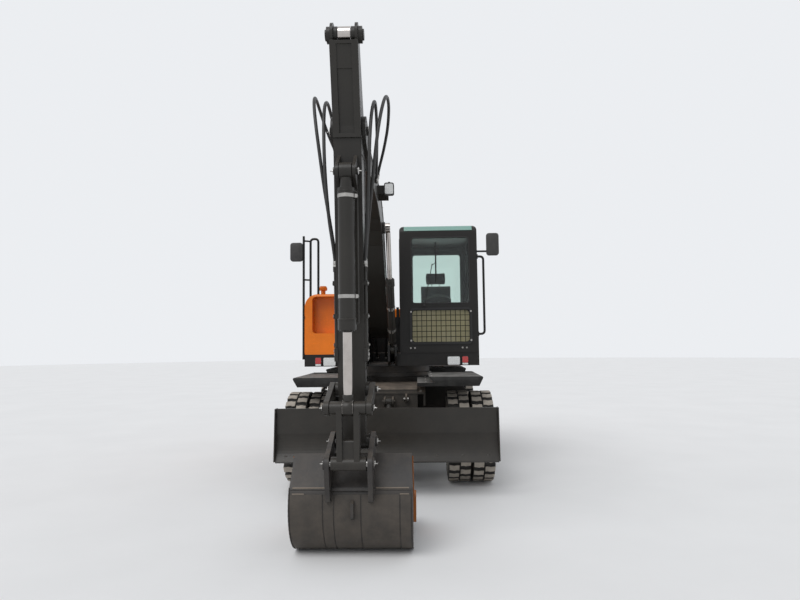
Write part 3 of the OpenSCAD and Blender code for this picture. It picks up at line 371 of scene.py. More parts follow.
# Mesh building: one Shape gathers the faces of one piece
class Shape:
    def __init__(self):
        self.bm = bmesh.new()
        self.carved = False

    def ring(self, centre, side, up, points):
        return [self.bm.verts.new(centre + side * u + up * v) for u, v in points]

    def skin(self, rings, closed=False):
        count = len(rings[0])
        for low, high in list(zip(rings, rings[1:])) + ([(rings[-1], rings[0])] if closed else []):
            for i in range(count):
                j = (i + 1) % count
                self.bm.faces.new((low[i], low[j], high[j], high[i]))

    def cap(self, ring):
        self.bm.faces.new(ring)

    def loft(self, rings):
        """Faces between rings, with both ends closed."""
        self.skin(rings)
        self.cap(rings[0][::-1])
        self.cap(rings[-1])

    def lathe(self, at, axis, profile, sides=24, sleeve=False):
        """Turned body: profile rows are (radius, distance along the axis); closed ends, or a sleeve."""
        at, axis = Vector(at), Vector(axis).normalized()
        side = axis.orthogonal().normalized()
        up = axis.cross(side)
        rings = [self.ring(at + axis * along, side, up, circle(radius, sides)) for radius, along in profile]
        if sleeve:
            self.skin(rings, True)
        else:
            self.loft(rings)

    def rod(self, a, b, radius, sides=14, chamfer=0.0):
        a, b = Vector(a), Vector(b)
        length = (b - a).length
        profile = [(radius, 0), (radius, length)]
        if chamfer:
            profile = [(radius - chamfer, 0), (radius, chamfer), (radius, length - chamfer),
                       (radius - chamfer, length)]
        self.lathe(a, b - a, profile, sides)

    def sweep(self, path, sections, closed=False):
        """One section of (across, up) rows for each point of a path, turned as little as it can be."""
        count = len(path)
        rings = []
        side = None
        for i, (point, section) in enumerate(zip(path, sections)):
            if closed:
                ahead = path[(i + 1) % count] - path[i - 1]
            else:
                ahead = path[min(i + 1, count - 1)] - path[max(i - 1, 0)]
            ahead.normalize()
            side = side or ahead.orthogonal().normalized()
            side = (side - ahead * side.dot(ahead)).normalized()
            rings.append(self.ring(point, side, ahead.cross(side), section))
        if closed:
            self.skin(rings, True)
        else:
            self.loft(rings)

    def tube(self, path, radius, sides=10, closed=False, section=None):
        """A tube along a path, or a strip where a section is given."""
        path = [Vector(p) for p in path]
        self.sweep(path, [section or circle(radius, sides)] * len(path), closed)

    def box(self, low, high, bevel=0.002):
        low, high = Vector(low), Vector(high)
        made = bmesh.ops.create_cube(self.bm, size=1)["verts"]
        for vert in made:
            vert.co = Vector(((low[i] + high[i]) / 2 + vert.co[i] * (high[i] - low[i]) for i in range(3)))
        if bevel:
            edges = list({edge for vert in made for edge in vert.link_edges})
            bmesh.ops.bevel(self.bm, geom=edges, offset=bevel, segments=2, affect="EDGES")

    def prism(self, outline, along, draft=1.0):
        """A closed outline of points pushed along a vector, its far end scaled by the draft."""
        points = [Vector(p) for p in outline]
        middle = sum(points, Vector()) / len(points)
        along = Vector(along)
        far = [middle + (p - middle) * draft + along for p in points]
        self.loft([[self.bm.verts.new(p) for p in row] for row in (points, far)])

    def bolt(self, at, axis, size):
        """Hexagon head on a washer; size is the thread's diameter."""
        at, axis = Vector(at), Vector(axis).normalized()
        self.lathe(at, axis, [(size * 1.1, 0), (size * 1.1, size * 0.15)], 16)
        head = [(size * 0.92, size * 0.15), (size * 0.92, size * 0.7), (size * 0.8, size * 0.82)]
        self.lathe(at, axis, head, 6)

    def nipple(self, at, axis):
        """Grease nipple."""
        self.lathe(at, axis, [(0.007, 0), (0.007, 0.006), (0.004, 0.008), (0.004, 0.014), (0.0055, 0.017),
                              (0.003, 0.021)], 8)

    def weld(self, path, radius=0.005):
        """A bead with its ripples along a path."""
        path = [Vector(p) for p in path]
        fine = []
        for a, b in zip(path, path[1:]):
            steps = max(1, int((b - a).length / (radius * 2.2)))
            fine += [a.lerp(b, i / steps) for i in range(steps)]
        fine.append(path[-1])
        swells = [radius * (1.0 if i % 2 else 0.78) for i in range(len(fine))]
        self.sweep(fine, [circle(swell, 6) for swell in swells])

    def face_out(self):
        """Turn the faces outwards; a carved solid's are right, and its hollows face inwards."""
        if not self.carved:
            bmesh.ops.recalc_face_normals(self.bm, faces=self.bm.faces)

    def mesh(self, name, material, smooth_under=40):
        self.face_out()
        limit = radians(smooth_under)
        for face in self.bm.faces:
            face.smooth = True
        for edge in self.bm.edges:
            edge.smooth = len(edge.link_faces) == 2 and edge.calc_face_angle(0) < limit
        data = bpy.data.meshes.new(name)
        self.bm.to_mesh(data)
        self.bm.free()
        data.materials.append(MATERIALS[material])
        return data


def place(name, data, body, slot, at=None):
    piece = bpy.data.objects.new(name, data)
    if at is not None:
        piece.matrix_world = at
    bpy.context.scene.collection.objects.link(piece)
    if body:
        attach(piece, body)
    return piece


def piece(name, shape, material, body, smooth_under=40):
    return place(name, shape.mesh(name, material, smooth_under), body, SLOTS.get(material, material))


def arc(centre, radius, start, end, steps):
    """Points (u, v) of an arc, angles in degrees."""
    turns = [radians(start + (end - start) * i / steps) for i in range(steps + 1)]
    return [(centre[0] + radius * cos(a), centre[1] + radius * sin(a)) for a in turns]


def round_rect(u, v, radius, steps=4):
    corners = (
        (u[1] - radius, v[0] + radius), (u[1] - radius, v[1] - radius), (u[0] + radius, v[1] - radius),
        (u[0] + radius, v[0] + radius),
    )
    return [p for k, at in enumerate(corners) for p in arc(at, radius, 90 * k - 90, 90 * k, steps)]


def round_path(u, v, radius, steps=4, gap=0.05):
    """A rounded rectangle's outline with points along its straight sides too."""
    corners = round_rect(u, v, radius, steps)
    fine = []
    for a, b in zip(corners, corners[1:] + corners[:1]):
        count = max(1, int(hypot(b[0] - a[0], b[1] - a[1]) / gap))
        fine += [(a[0] + (b[0] - a[0]) * i / count, a[1] + (b[1] - a[1]) * i / count) for i in range(count)]
    return fine


def smooth_path(points, per_span=6):
    """A smooth curve through the points (Catmull-Rom)."""
    points = [Vector(p) for p in points]
    route = []
    for i in range(len(points) - 1):
        p0, p1 = points[max(i - 1, 0)], points[i]
        p2, p3 = points[i + 1], points[min(i + 2, len(points) - 1)]
        for k in range(per_span):
            t = k / per_span
            route.append(
                0.5 * (2 * p1 + (p2 - p0) * t + (2 * p0 - 5 * p1 + 4 * p2 - p3) * t * t
                       + (3 * p1 - p0 - 3 * p2 + p3) * t ** 3)
            )
    return route + [points[-1]]


# The working gear's frame of reference, as the CAD has it
GEAR_X = -0.170
PIVOT = (-3.850, 3.200)
TIP = (-3.670, 0.826)
FOOT = (-0.450, 1.750)


def on_arm(s, t):
    """(y, z) of a point s along the arm from its pivot and t in front of it."""
    return (PIVOT[0] + 0.0756 * s - 0.9971 * t, PIVOT[1] - 0.9971 * s - 0.0756 * t)


def on_boom(s, t):
    """(y, z) of a point s along the boom from its foot and t above it."""
    return (FOOT[0] - 0.919844 * s + 0.392286 * t, FOOT[1] + 0.392286 * s + 0.919844 * t)


def gear(x, yz):
    return Vector((GEAR_X + x, yz[0], yz[1]))


LINK_PIN = on_arm(1.981, 0)
BUCKET_PIN = (-3.981, 0.716)
ROD_PIN = (LINK_PIN[0] + BUCKET_PIN[0] - TIP[0], LINK_PIN[1] + BUCKET_PIN[1] - TIP[1])
BOOM_CYL = ((-0.820, 1.500), on_boom(1.650, 0.500))
ARM_CYL = (on_boom(1.400, 0.960), (-4.130, 3.820))
BUCKET_CYL = (on_arm(0.360, 0.270), ROD_PIN)

SIDES = (("left", 1), ("right", -1))

# Free hoses: whole loops over the boom's end and at its foot; points across, along and up, in mm
HOSE_D = 0.026
LOOP_OUTER = (
    (136, -2740, 3140), (168, -2880, 3210), (220, -3070, 3315), (264, -3270, 3425), (286, -3470, 3510),
    (288, -3640, 3534), (278, -3800, 3490), (260, -3920, 3370), (234, -3990, 3190), (206, -3990, 2970),
    (180, -3962, 2750), (152, -3914, 2540), (126, -3840, 2330), (113, -3798, 2195), (113, -3795, 2155),
)
LOOP_INNER = (
    (136, -2790, 3090), (144, -2920, 3155), (162, -3130, 3262), (178, -3350, 3375), (187, -3560, 3460),
    (189, -3720, 3480), (186, -3860, 3412), (178, -3970, 3270), (170, -4025, 3080), (163, -4030, 2870),
    (153, -4006, 2670), (140, -3958, 2480), (122, -3884, 2300), (113, -3848, 2195), (113, -3845, 2153),
)
FOOT_HOSE = (
    (60, 60, 1400), (60, 15, 1400), (62, -75, 1450), (68, -150, 1590), (76, -200, 1750), (84, -250, 1890),
    (91, -335, 2000), (96, -450, 2070), (98, -570, 2110), (98, -680, 2180), (98, -753, 2262),
)


def crimp(shape, at, inwards):
    """Pressed sleeve and nut at a hose's end; inwards points along the hose, away from the fitting."""
    rows = [(0.0185, 0.0), (0.0185, 0.016), (0.0165, 0.018), (0.0178, 0.020), (0.0178, 0.050)]
    rows += [(0.0162, 0.052), (0.0178, 0.055), (0.0178, 0.062), (0.0140, 0.066)]
    shape.lathe(at, inwards, rows[:2], 6)
    shape.lathe(
        Vector(at) + Vector(inwards).normalized() * 0.016, inwards,
        [(r, a - 0.016) for r, a in rows[2:]], 16
    )


def make_hose(name, points, side, bodies):
    path = smooth_path([gear(side * x / 1000, (y / 1000, z / 1000)) for x, y, z in points], 5)
    shape = Shape()
    shape.tube(path, HOSE_D / 2, 12)
    hose = place(name, shape.mesh(name, "hose_rubber", 60), None, SLOTS["hose_rubber"])
    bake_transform(hose)
    for body, at, beyond in ((bodies[0], path[0], path[1]), (bodies[1], path[-1], path[-2])):
        fitting = Shape()
        crimp(fitting, at, beyond - at)
        piece(f"{name}_fitting_{body}", fitting, "plated", body)


def make_hoses():
    for tag, side in SIDES:
        make_hose(f"loop_outer_{tag}", LOOP_OUTER, side, ("boom", "arm"))
        make_hose(f"loop_inner_{tag}", LOOP_INNER, side, ("boom", "arm"))
        make_hose(f"foot_hose_{tag}", FOOT_HOSE, side, ("upper", "boom"))


make_hoses()


# Solids drawn as the part's source draws them, in millimetres, with real cuts
def hull(points):
    """Outline round a set of flat points."""
    points = sorted(set((round(u, 4), round(v, 4)) for u, v in points))

    def half(row):
        chain = []
        for p in row:
            while len(chain) > 1:
                (au, av), (bu, bv) = chain[-2], chain[-1]
                if (bu - au) * (p[1] - av) - (bv - av) * (p[0] - au) > 1e-9:
                    break
                chain.pop()
            chain.append(p)
        return chain[:-1]

    return half(points) + half(points[::-1])


def disc(centre, diameter, steps=24):
    return arc(centre, diameter / 2, 0, 360 * (1 - 1 / steps), steps - 1)


def link(a, b, da, db):
    return hull(disc(a, da) + disc(b, db))


def band(line, depth):
    """A strip of the given depth along an open line, on its right side."""
    normals = []
    for a, b in zip(line, line[1:]):
        length = hypot(b[0] - a[0], b[1] - a[1])
        normals.append(((b[1] - a[1]) / length, (a[0] - b[0]) / length))
    inner = []
    for i, p in enumerate(line):
        n0, n1 = normals[max(i - 1, 0)], normals[min(i, len(normals) - 1)]
        n = (n0[0] + n1[0], n0[1] + n1[1])
        scale = 2 * depth / (n[0] ** 2 + n[1] ** 2)
        inner.append((p[0] - n[0] * scale, p[1] - n[1] * scale))
    return list(line) + inner[::-1]


def evaluated(obj):
    """The object's mesh with its modifiers applied."""
    bpy.context.view_layer.update()
    return bpy.data.meshes.new_from_object(obj.evaluated_get(bpy.context.evaluated_depsgraph_get()))


class Block(Shape):
    def push(self, outline, spot, low, high):
        """An outline pushed between two depths; spot turns (u, v, depth) into (x, y, z)."""
        depths = sorted((low, high))
        self.loft([[self.bm.verts.new(mm_at(*spot(u, v, w))) for u, v in outline] for w in depths])
        return self

    def front(self, outline, low, high):
        """Outline of (x, z), from y low to y high."""
        return self.push(outline, lambda u, v, w: (u, w, v), low, high)

    def side(self, outline, low, high):
        """Outline of (y, z), from x low to x high."""
        return self.push(outline, lambda u, v, w: (w, u, v), low, high)

    def plan(self, outline, low, high):
        """Outline of (x, y), from z low to z high."""
        return self.push(outline, lambda u, v, w: (u, v, w), low, high)

    def cuboid(self, a, b):
        """A box between two opposite corners."""
        return self.plan(rect(a[0], a[1], b[0], b[1]), a[2], b[2])

    def bar(self, low, high, yz, diameter):
        return self.side(disc(yz, diameter, 28), low, high)

    def merged(self, other, operation):
        """This solid after a boolean with the other one."""
        pair = []
        for shape in (self, other):
            shape.face_out()
            data = bpy.data.meshes.new("part")
            shape.bm.to_mesh(data)
            obj = bpy.data.objects.new("part", data)
            bpy.context.scene.collection.objects.link(obj)
            pair.append(obj)
        step = pair[0].modifiers.new("step", "BOOLEAN")
        step.operation = operation
        step.solver = "EXACT"
        step.use_self = operation == "UNION"
        step.object = pair[1]
        data = evaluated(pair[0])
        self.bm.clear()
        self.bm.from_mesh(data)
        self.carved = True
        bpy.data.meshes.remove(data)
        for obj in pair:
            raw = obj.data
            bpy.data.objects.remove(obj)
            bpy.data.meshes.remove(raw)
        return self

    def less(self, other):
        return self.merged(other, "DIFFERENCE")

    def within(self, other):
        return self.merged(other, "INTERSECT")

    def plus(self, other):
        return self.merged(other, "UNION")


def joined(blocks):
    """Several solids as one."""
    first, *others = blocks
    for other in others:
        first.plus(other)
    return first


def rect(u0, v0, u1, v1, radius=0):
    if radius:
        return round_rect((u0, u1), (v0, v1), radius)
    return [(u0, v0), (u1, v0), (u1, v1), (u0, v1)]


def form(name, shape, material, body, *stands_for, smooth_under=35):
    made = piece(name, shape, material, body, smooth_under)
    if stands_for:
        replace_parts(made, *stands_for)
    return made


# Wheels: twin tyres with two rows of dusty blocks, hub bolts and valves
AXLE_Y = 1.25
AXLE_Z = 0.51
TYRE_R = 0.486
LUG_TOP = 0.510
LUGS = 24
LUG_MIDDLE = 0.062
LUG_FOOT = (0.1195, 0.448)
TYRE_STEPS = 96


def around(x, radius, angle):
    return Vector((x, radius * cos(angle), radius * sin(angle)))


def make_tyre():
    shape = Shape()
    outline = (
        (0.2565, -0.089), (0.276, -0.089), (0.284, -0.100), (0.300, -0.1155), (0.312, -0.1195),
        (0.318, -0.1185), (0.330, -0.1225), (0.362, -0.1248), (0.369, -0.1238), (0.376, -0.1250),
        (0.420, -0.1230), (0.446, -0.1195), (0.470, -0.1130), (0.4835, -0.094), (TYRE_R, -0.060),
        (TYRE_R, -0.020),
    )
    outline += tuple((r, -x) for r, x in reversed(outline))
    turns = [2 * pi * i / TYRE_STEPS for i in range(TYRE_STEPS)]
    shape.skin([[shape.bm.verts.new(around(x, r, turn)) for r, x in outline] for turn in turns], True)
    # Block outline: across from the middle, then along the tread
    block = (
        (0.007, -0.036), (0.030, -0.040), (0.062, -0.030), (0.092, -0.036), (0.1165, -0.040), (0.1165, 0.034),
        (0.092, 0.038), (0.062, 0.045), (0.030, 0.035), (0.007, 0.040),
    )
    # A side bar that runs down the shoulder from each block: across, radius, along the tread
    bar = (
        (0.1165, 0.470, -0.030), (0.1165, 0.470, 0.024), (0.1185, 0.425, 0.016), (0.1185, 0.425, -0.022),
    )
    for side, lag in ((-1, 0), (1, 0.5)):
        for i in range(LUGS):
            turn = 2 * pi * (i + lag) / LUGS
            rows = []
            for radius, grow in ((0, 1.16), (LUG_TOP - 0.004, 1.0), (LUG_TOP, 0.93)):
                ring = []
                for x, s in block:
                    wide, r = LUG_MIDDLE + (x - LUG_MIDDLE) * min(grow, 1.0), radius
                    if radius == 0:
                        wide, r = LUG_FOOT if x > 0.1 else (x, 0.480)
                    ring.append(shape.bm.verts.new(around(side * wide, r, turn + s * grow / LUG_TOP)))
                rows.append(ring)
            shape.skin(rows)
            shape.cap(rows[-1])
            rows = []
            for rise, sink, share in ((0, 0, 1), (0.0062, 0.004, 0.86)):
                spots = [around(side * (x + rise), r - sink, turn + s * share / r) for x, r, s in bar]
                rows.append([shape.bm.verts.new(spot) for spot in spots])
            shape.skin(rows)
            shape.cap(rows[-1])
    for turn in (0.4, 0.4 + pi):
        for r in (0.345, 0.400):
            line = [around(0.1235, r, turn + a) for a in (-0.55, -0.35, -0.15, 0.05, 0.25, 0.45)]
            shape.tube(line, 0.0022, 6)
    return shape.mesh("tyre", "tyre", 30)


def make_wheels():
    tyre = make_tyre()
    turned = tyre.copy()
    turned.transform(Matrix.Rotation(0.09, 4, "X"))
    hub = Shape()
    for y, z in circle(0.090, 10):
        hub.bolt((0.1295, y, z), (1, 0, 0), 0.016)
    hub.lathe((0.1290, 0, 0), (1, 0, 0), [(0.060, 0), (0.060, 0.010), (0.052, 0.016), (0.020, 0.018)], 28)
    hub.bolt(around(0.142, 0.036, 0.7), (1, 0, 0), 0.014)
    for i in range(8):
        angle = radians(45 * i + 22.5)
        hub.lathe(around(0.0135, 0.1735, angle), (1, 0, 0), [(0.017, 0), (0.017, 0.005)], 16)
        nut = [(0.0140, 0), (0.0140, 0.018), (0.0115, 0.021)]
        hub.lathe(around(0.0180, 0.1735, angle), (1, 0, 0), nut, 6)
        stud = [(0.0075, 0), (0.0075, 0.012), (0.006, 0.014)]
        hub.lathe(around(0.036, 0.1735, angle), (1, 0, 0), stud, 10)
    hub_mesh = hub.mesh("wheel_bolts", "plated")
    valve = Shape()
    for x, ahead in ((0.040, 1), (-0.052, -1)):
        line = ((0.070, 0.244), (0.086, 0.234), (0.112, 0.229))
        valve.tube([around(x + out * ahead, r, 1.18) for out, r in line], 0.0042, 8)
        cap = [(0.0058, 0), (0.0058, 0.013), (0.004, 0.015)]
        valve.lathe(around(x + 0.110 * ahead, 0.229, 1.18), (ahead, 0, 0), cap, 8)
    valve_mesh = valve.mesh("valves", "plated")
    for end, y in (("front", -AXLE_Y), ("rear", AXLE_Y)):
        for hand, side in SIDES:
            tag, body = f"{end}_{hand}", f"wheel_{end}_{hand}"
            turn = Matrix.Rotation(0 if side > 0 else pi, 4, "Z")
            for name, x, mesh in (("outer", 1.045, tyre), ("inner", 0.777, turned)):
                spot = Matrix.Translation((side * x, y, AXLE_Z)) @ turn
                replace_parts(place(f"tyre_{tag}_{name}", mesh, body, "tyre", spot), f"tyres_{tag}")
            spot = Matrix.Translation((side * 0.911, y, AXLE_Z)) @ turn
            place(f"wheel_bolts_{tag}", hub_mesh, body, "rim_paint", spot)
            place(f"valves_{tag}", valve_mesh, body, "rim_paint", spot)


make_wheels()


# Cylinders: gland rings, clamps, ports and the pipe that feeds the rod's end
def make_cylinder(name, body, x, ends, length, radius, rod, pipe_side, grip):
    """pipe_side is the pipe's direction off the barrel; grip the clamps' places in the barrel's length."""
    base, eye = gear(x, ends[0]), gear(x, ends[1])
    along = (eye - base).normalized()
    across = Vector((1, 0, 0))
    normal = across.cross(along)
    off = (across * pipe_side[0] + normal * pipe_side[1]).normalized()

    def about(angle, reach):
        return (across * cos(angle) + normal * sin(angle)) * reach

    rings = Shape()
    lip = radius + 0.0085
    gland = [(radius + 0.004, 0), (lip, 0.004), (lip, 0.010)]
    rings.lathe(base + along * (length - 0.082), along, gland, 36)
    cap = base + along * (length - 0.002)
    rows = [(radius - 0.004, 0), (radius - 0.006, 0.008), (rod + 0.013, 0.010), (rod + 0.011, 0.014)]
    rings.lathe(cap, along, rows, 36)
    for i in range(6):
        rings.bolt(cap + along * 0.0075 + about(pi / 3 * i + 0.2, radius - 0.013), along, 0.009)
    bead = [about(2 * pi * k / 24, radius + 0.0005) for k in range(25)]
    rings.weld([base + along * 0.150 + p for p in bead], 0.0035)
    piece(f"{name}_rings", rings, "dark_paint", body)
    seal = Shape()
    rows = [(rod + 0.010, 0), (rod + 0.009, 0.006), (rod + 0.0015, 0.008)]
    seal.lathe(cap + along * 0.011, along, rows, 28)
    piece(f"{name}_wiper", seal, "seal", body)
    feed = Shape()
    reach = radius + 0.021
    start, stop = 0.150, length - 0.045
    low = base + along * start + off * (radius - 0.006)
    high = base + along * stop + off * (radius - 0.002)
    run = [low + off * 0.010, low + off * 0.022 + along * 0.004]
    run += [base + along * (start + 0.03 + (stop - start - 0.06) * k / 8) + off * reach for k in range(9)]
    run += [high + off * 0.020 - along * 0.004, high + off * 0.006]
    feed.tube(smooth_path(run, 3), 0.0075, 10)
    for spot in (low, high):
        feed.lathe(spot - off * 0.004, off, [(0.016, 0), (0.016, 0.012), (0.013, 0.015)], 6)
    piece(f"{name}_pipe", feed, "dark_paint", body)
    bands = Shape()
    inner, outer = radius + 0.0005, radius + 0.0035
    side = along.cross(off)
    for share in grip:
        spot = base + along * (length * share)
        rows = [(inner, 0), (outer, 0.001), (outer, 0.027), (inner, 0.028)]
        bands.lathe(spot - along * 0.014, along, rows, 36, True)
        centre = spot + off * (radius + 0.015)
        for s in (-1, 1):
            bands.bolt(centre + side * 0.017 * s + off * 0.004, off, 0.007)
        foot = centre - off * 0.014
        ends = ((-0.026, -0.014), (0.026, -0.014), (0.026, 0.014), (-0.026, 0.014))
        bands.prism([foot + side * u + along * v for u, v in ends], off * 0.020, 0.94)
    piece(f"{name}_clamps", bands, "plated", body)


# Rows are the name, body, x, (y, z) of both ends, and the barrel's length, radius, rod, pipe and clamps
CYLINDERS = (
    ("boom_cylinder_left", "boom_barrels", 0.185, BOOM_CYL, 1.000, 0.048, 0.0275, (0, 1), (0.30, 0.62)),
    ("boom_cylinder_right", "boom_barrels", -0.185, BOOM_CYL, 1.000, 0.048, 0.0275, (0, 1), (0.30, 0.62)),
    ("arm_cylinder", "arm_barrel", 0, ARM_CYL, 1.480, 0.055, 0.0325, (0, 1), (0.30, 0.62)),
    ("bucket_cylinder", "bucket_barrel", 0, BUCKET_CYL, 1.150, 0.060, 0.0325, (1, 0.15), (0.16, 0.79)),
)


def make_cylinders():
    for row in CYLINDERS:
        make_cylinder(*row)
    eye = Shape()
    rows = [(0.0560, 0), (0.0585, 0.003), (0.0585, 0.075), (0.0560, 0.078)]
    eye.lathe(gear(-0.0390, ROD_PIN), (1, 0, 0), rows, 36)
    shank = (gear(0, BUCKET_CYL[0]) - gear(0, BUCKET_CYL[1])).normalized()
    eye.lathe(gear(0, ROD_PIN) + shank * 0.050, shank, [(0.0380, 0), (0.0380, 0.040), (0.0345, 0.046)], 28)
    piece("bucket_rod_eye", eye, "dark_paint", "bucket_rod")


make_cylinders()


# House: sizes in millimetres, as in the part's source
HOUSE_HALF = 1095
NOSE = -800
DECK = 1450
CAB_X = (110, 1095)
CAB_Y = (NOSE, 740)
CAB_TOP = 3084
WALL = 45
SILL = 2040
DOOR_Y = (-700, 150)
DOOR_Z = (1500, 2954)
SCREEN_X = (257, 993)
SCREEN_Z = (2077, 2926)
LOW_Z = (1585, 2001)
PANE_R = 45
SCREEN_LEAN = 40
BAY_Y = (765, 1445)
BAY_TOP = 1980
HOOD_TOP = 2110
BODY_TOP = 2216
BODY_IN = -430
TAIL_R = 1880


def cab_outline(inset):
    turn = 100 - inset
    return (
        [(CAB_Y[0] + inset, DECK + inset), (CAB_Y[0] + inset, SILL)]
        + arc((CAB_Y[0] + 140, CAB_TOP - 100), turn, 180, 90, 8)
        + arc((CAB_Y[1] - 100, CAB_TOP - 110), turn, 90, 0, 8)
        + [(CAB_Y[1] - inset, DECK + inset)]
    )


def cab_shell(inset):
    across = (
        [(CAB_X[0] + inset, DECK - 1), (CAB_X[1] - inset, DECK - 1)]
        + arc((CAB_X[1] - 70, CAB_TOP - 69), 70 - inset, 0, 90, 7)
        + arc((CAB_X[0] + 70, CAB_TOP - 69), 70 - inset, 90, 180, 7)
    )
    shell = Block().side(cab_outline(inset), CAB_X[0] - 1, CAB_X[1] + 1)
    return shell.within(Block().front(across, CAB_Y[0] - 2, CAB_Y[1] + 2))


def pane(u0, v0, u1, v1, grow=0.0):
    return rect(u0 - grow, v0 - grow, u1 + grow, v1 + grow, PANE_R + grow)


def seal_line(outline, radius=PANE_R, steps=5, gap=200):
    """A seal's line, 3 mm inside the outline."""
    u0, v0, u1, v1 = outline
    return round_path((u0 + 3, u1 - 3), (v0 + 3, v1 - 3), radius, steps, gap)


# X spans of a cut through the cab's left wall and of the glass in it
LEFT_CUT = (CAB_X[1] - WALL - 5, CAB_X[1] + 5)
LEFT_GLASS = (CAB_X[1] - 26, CAB_X[1] - 20)
# Openings of panes, as (low across, low z, high across, high z)
SCREEN = (SCREEN_X[0], SCREEN_Z[0], SCREEN_X[1], SCREEN_Z[1])
LOW_PANE = (SCREEN_X[0], LOW_Z[0], SCREEN_X[1], LOW_Z[1])
REAR_SIDE = (DOOR_Y[1] + 90, SILL, CAB_Y[1] - 90, SCREEN_Z[1])
RIGHT_PANE = (DOOR_Y[0], SILL, CAB_Y[1] - 100, SCREEN_Z[1])
REAR_PANE = (SCREEN_X[0], SILL + 90, SCREEN_X[1], SCREEN_Z[1])
DOOR_HIGH = (DOOR_Y[0] + 95, SILL + 160, DOOR_Y[1] - 75, DOOR_Z[1] - 70)
DOOR_LOW = (DOOR_Y[0] + 75, DOOR_Z[0] + 120, DOOR_Y[1] - 75, SILL - 70)


def make_cab():
    shell = cab_shell(0).less(cab_shell(WALL))
    holes = Block()
    holes.front(pane(*SCREEN), CAB_Y[0] - 10, CAB_Y[0] + 190)
    holes.front(pane(*LOW_PANE), CAB_Y[0] - 10, CAB_Y[0] + 90)
    holes.side(rect(DOOR_Y[0], DOOR_Z[0], DOOR_Y[1], DOOR_Z[1], 30), *LEFT_CUT)
    holes.side(pane(*REAR_SIDE), *LEFT_CUT)
    holes.side(pane(*RIGHT_PANE), CAB_X[0] - 5, CAB_X[0] + WALL + 5)
    holes.front(pane(*REAR_PANE), CAB_Y[1] - WALL - 5, CAB_Y[1] + 5)
    shell.less(holes)
    form("cab_frame_shell", shell, "cab_paint", "upper", "cab_frame")
    trim = Block()
    trim.front(rect(CAB_X[0] + 20, DECK + 12, CAB_X[1] - 20, LOW_Z[0] - 30, 12), CAB_Y[0] - 11, CAB_Y[0] + 4)
    hatch = (CAB_X[0] + 250, CAB_Y[0] + 560)
    trim.plan(rect(*hatch, hatch[0] + 485, hatch[1] + 480, 40), CAB_TOP - 12, CAB_TOP + 1)
    for x in (CAB_X[0] + 30, CAB_X[1] - 62):
        trim.plan(rect(x, CAB_Y[0] + 170, x + 32, CAB_Y[1] - 130, 12), CAB_TOP - 16, CAB_TOP - 1)
    piece("cab_trim", trim, "cab_paint", "upper")

    glass_set = Block()
    leaning = Block().side(cab_outline(20), SCREEN_X[0], SCREEN_X[1])
    leaning.less(Block().side(cab_outline(26), SCREEN_X[0] - 5, SCREEN_X[1] + 5))
    leaning.within(Block().front(pane(*SCREEN, 0.5), CAB_Y[0] - 10, CAB_Y[0] + 190))
    form("windscreen", leaning, "glass", "upper", "cab_glass")
    low_pane = Block().front(pane(*LOW_PANE), CAB_Y[0] + 20, CAB_Y[0] + 26)
    form("low_pane", low_pane, "dusty_glass", "upper", "cab_glass")
    glass_set.side(pane(*REAR_SIDE), *LEFT_GLASS)
    glass_set.side(pane(*RIGHT_PANE), CAB_X[0] + 20, CAB_X[0] + 26)
    glass_set.front(pane(*REAR_PANE), CAB_Y[1] - 26, CAB_Y[1] - 20)
    form("fixed_panes", glass_set, "glass", "upper", "cab_glass")
    # Tinted visor strip along the roof's front edge; its teal colour is a painted sky reflection
    strip = Block().side(cab_outline(-7), CAB_X[0] + 60, CAB_X[1] - 60)
    strip.less(Block().side(cab_outline(-0.5), CAB_X[0], CAB_X[1]))
    low, high = (CAB_X[0], CAB_Y[0] - 20, CAB_TOP - 72), (CAB_X[1], CAB_Y[0] + 130, CAB_TOP - 10)
    strip.within(Block().cuboid(low, high))
    form("roof_strip_painted_sky_reflection", strip, "roof_tint_and_painted_reflection", "upper", "cab_glass")

    seals = Shape()
    for y, outline in ((CAB_Y[0] + 3, LOW_PANE), (CAB_Y[1] - 2, REAR_PANE)):
        seals.tube([mm_at(u, y, v) for u, v in seal_line(outline)], 0.0085, 8, True)
    for x, outline in ((CAB_X[1] - 2, REAR_SIDE), (CAB_X[0] + 2, RIGHT_PANE)):
        seals.tube([mm_at(x, u, v) for u, v in seal_line(outline)], 0.0085, 8, True)
    lean = SCREEN_LEAN / (CAB_TOP - 100 - SILL)
    path = seal_line(SCREEN, gap=60)
    seals.tube([mm_at(u, CAB_Y[0] + 3 + lean * (v - SILL), v) for u, v in path], 0.0085, 8, True)
    path = seal_line((DOOR_Y[0], DOOR_Z[0], DOOR_Y[1], DOOR_Z[1]), 30, 4)
    seals.tube([mm_at(CAB_X[1] - WALL - 4, u, v) for u, v in path], 0.008, 8, True)
    piece("window_seals", seals, "seal", "upper")

    wiper = Shape()
    foot = Vector((0.420, -0.806, 2.050))
    tip = Vector((0.560, -0.820 + lean * 0.720, 2.760))
    wiper.lathe(foot + Vector((0, 0.010, 0)), (0, -1, 0), [(0.022, 0), (0.022, 0.020), (0.012, 0.030)], 20)
    stem = [foot + Vector((0, -0.012, 0)), foot.lerp(tip, 0.3) + Vector((0, -0.004, 0)), foot.lerp(tip, 0.75)]
    wiper.tube(stem, 0.005, 8)
    low, high = tip + Vector((0.010, 0.012, -0.42)), tip + Vector((0.010, 0.020, 0.10))
    blade = [(-0.004, -0.010), (0.004, -0.010), (0.002, 0.010), (-0.002, 0.010)]
    wiper.tube([low, high], 0, section=blade)
    wiper.tube([foot.lerp(tip, 0.72), low.lerp(high, 0.5)], 0.004, 6)
    piece("wiper", wiper, "seal", "upper")


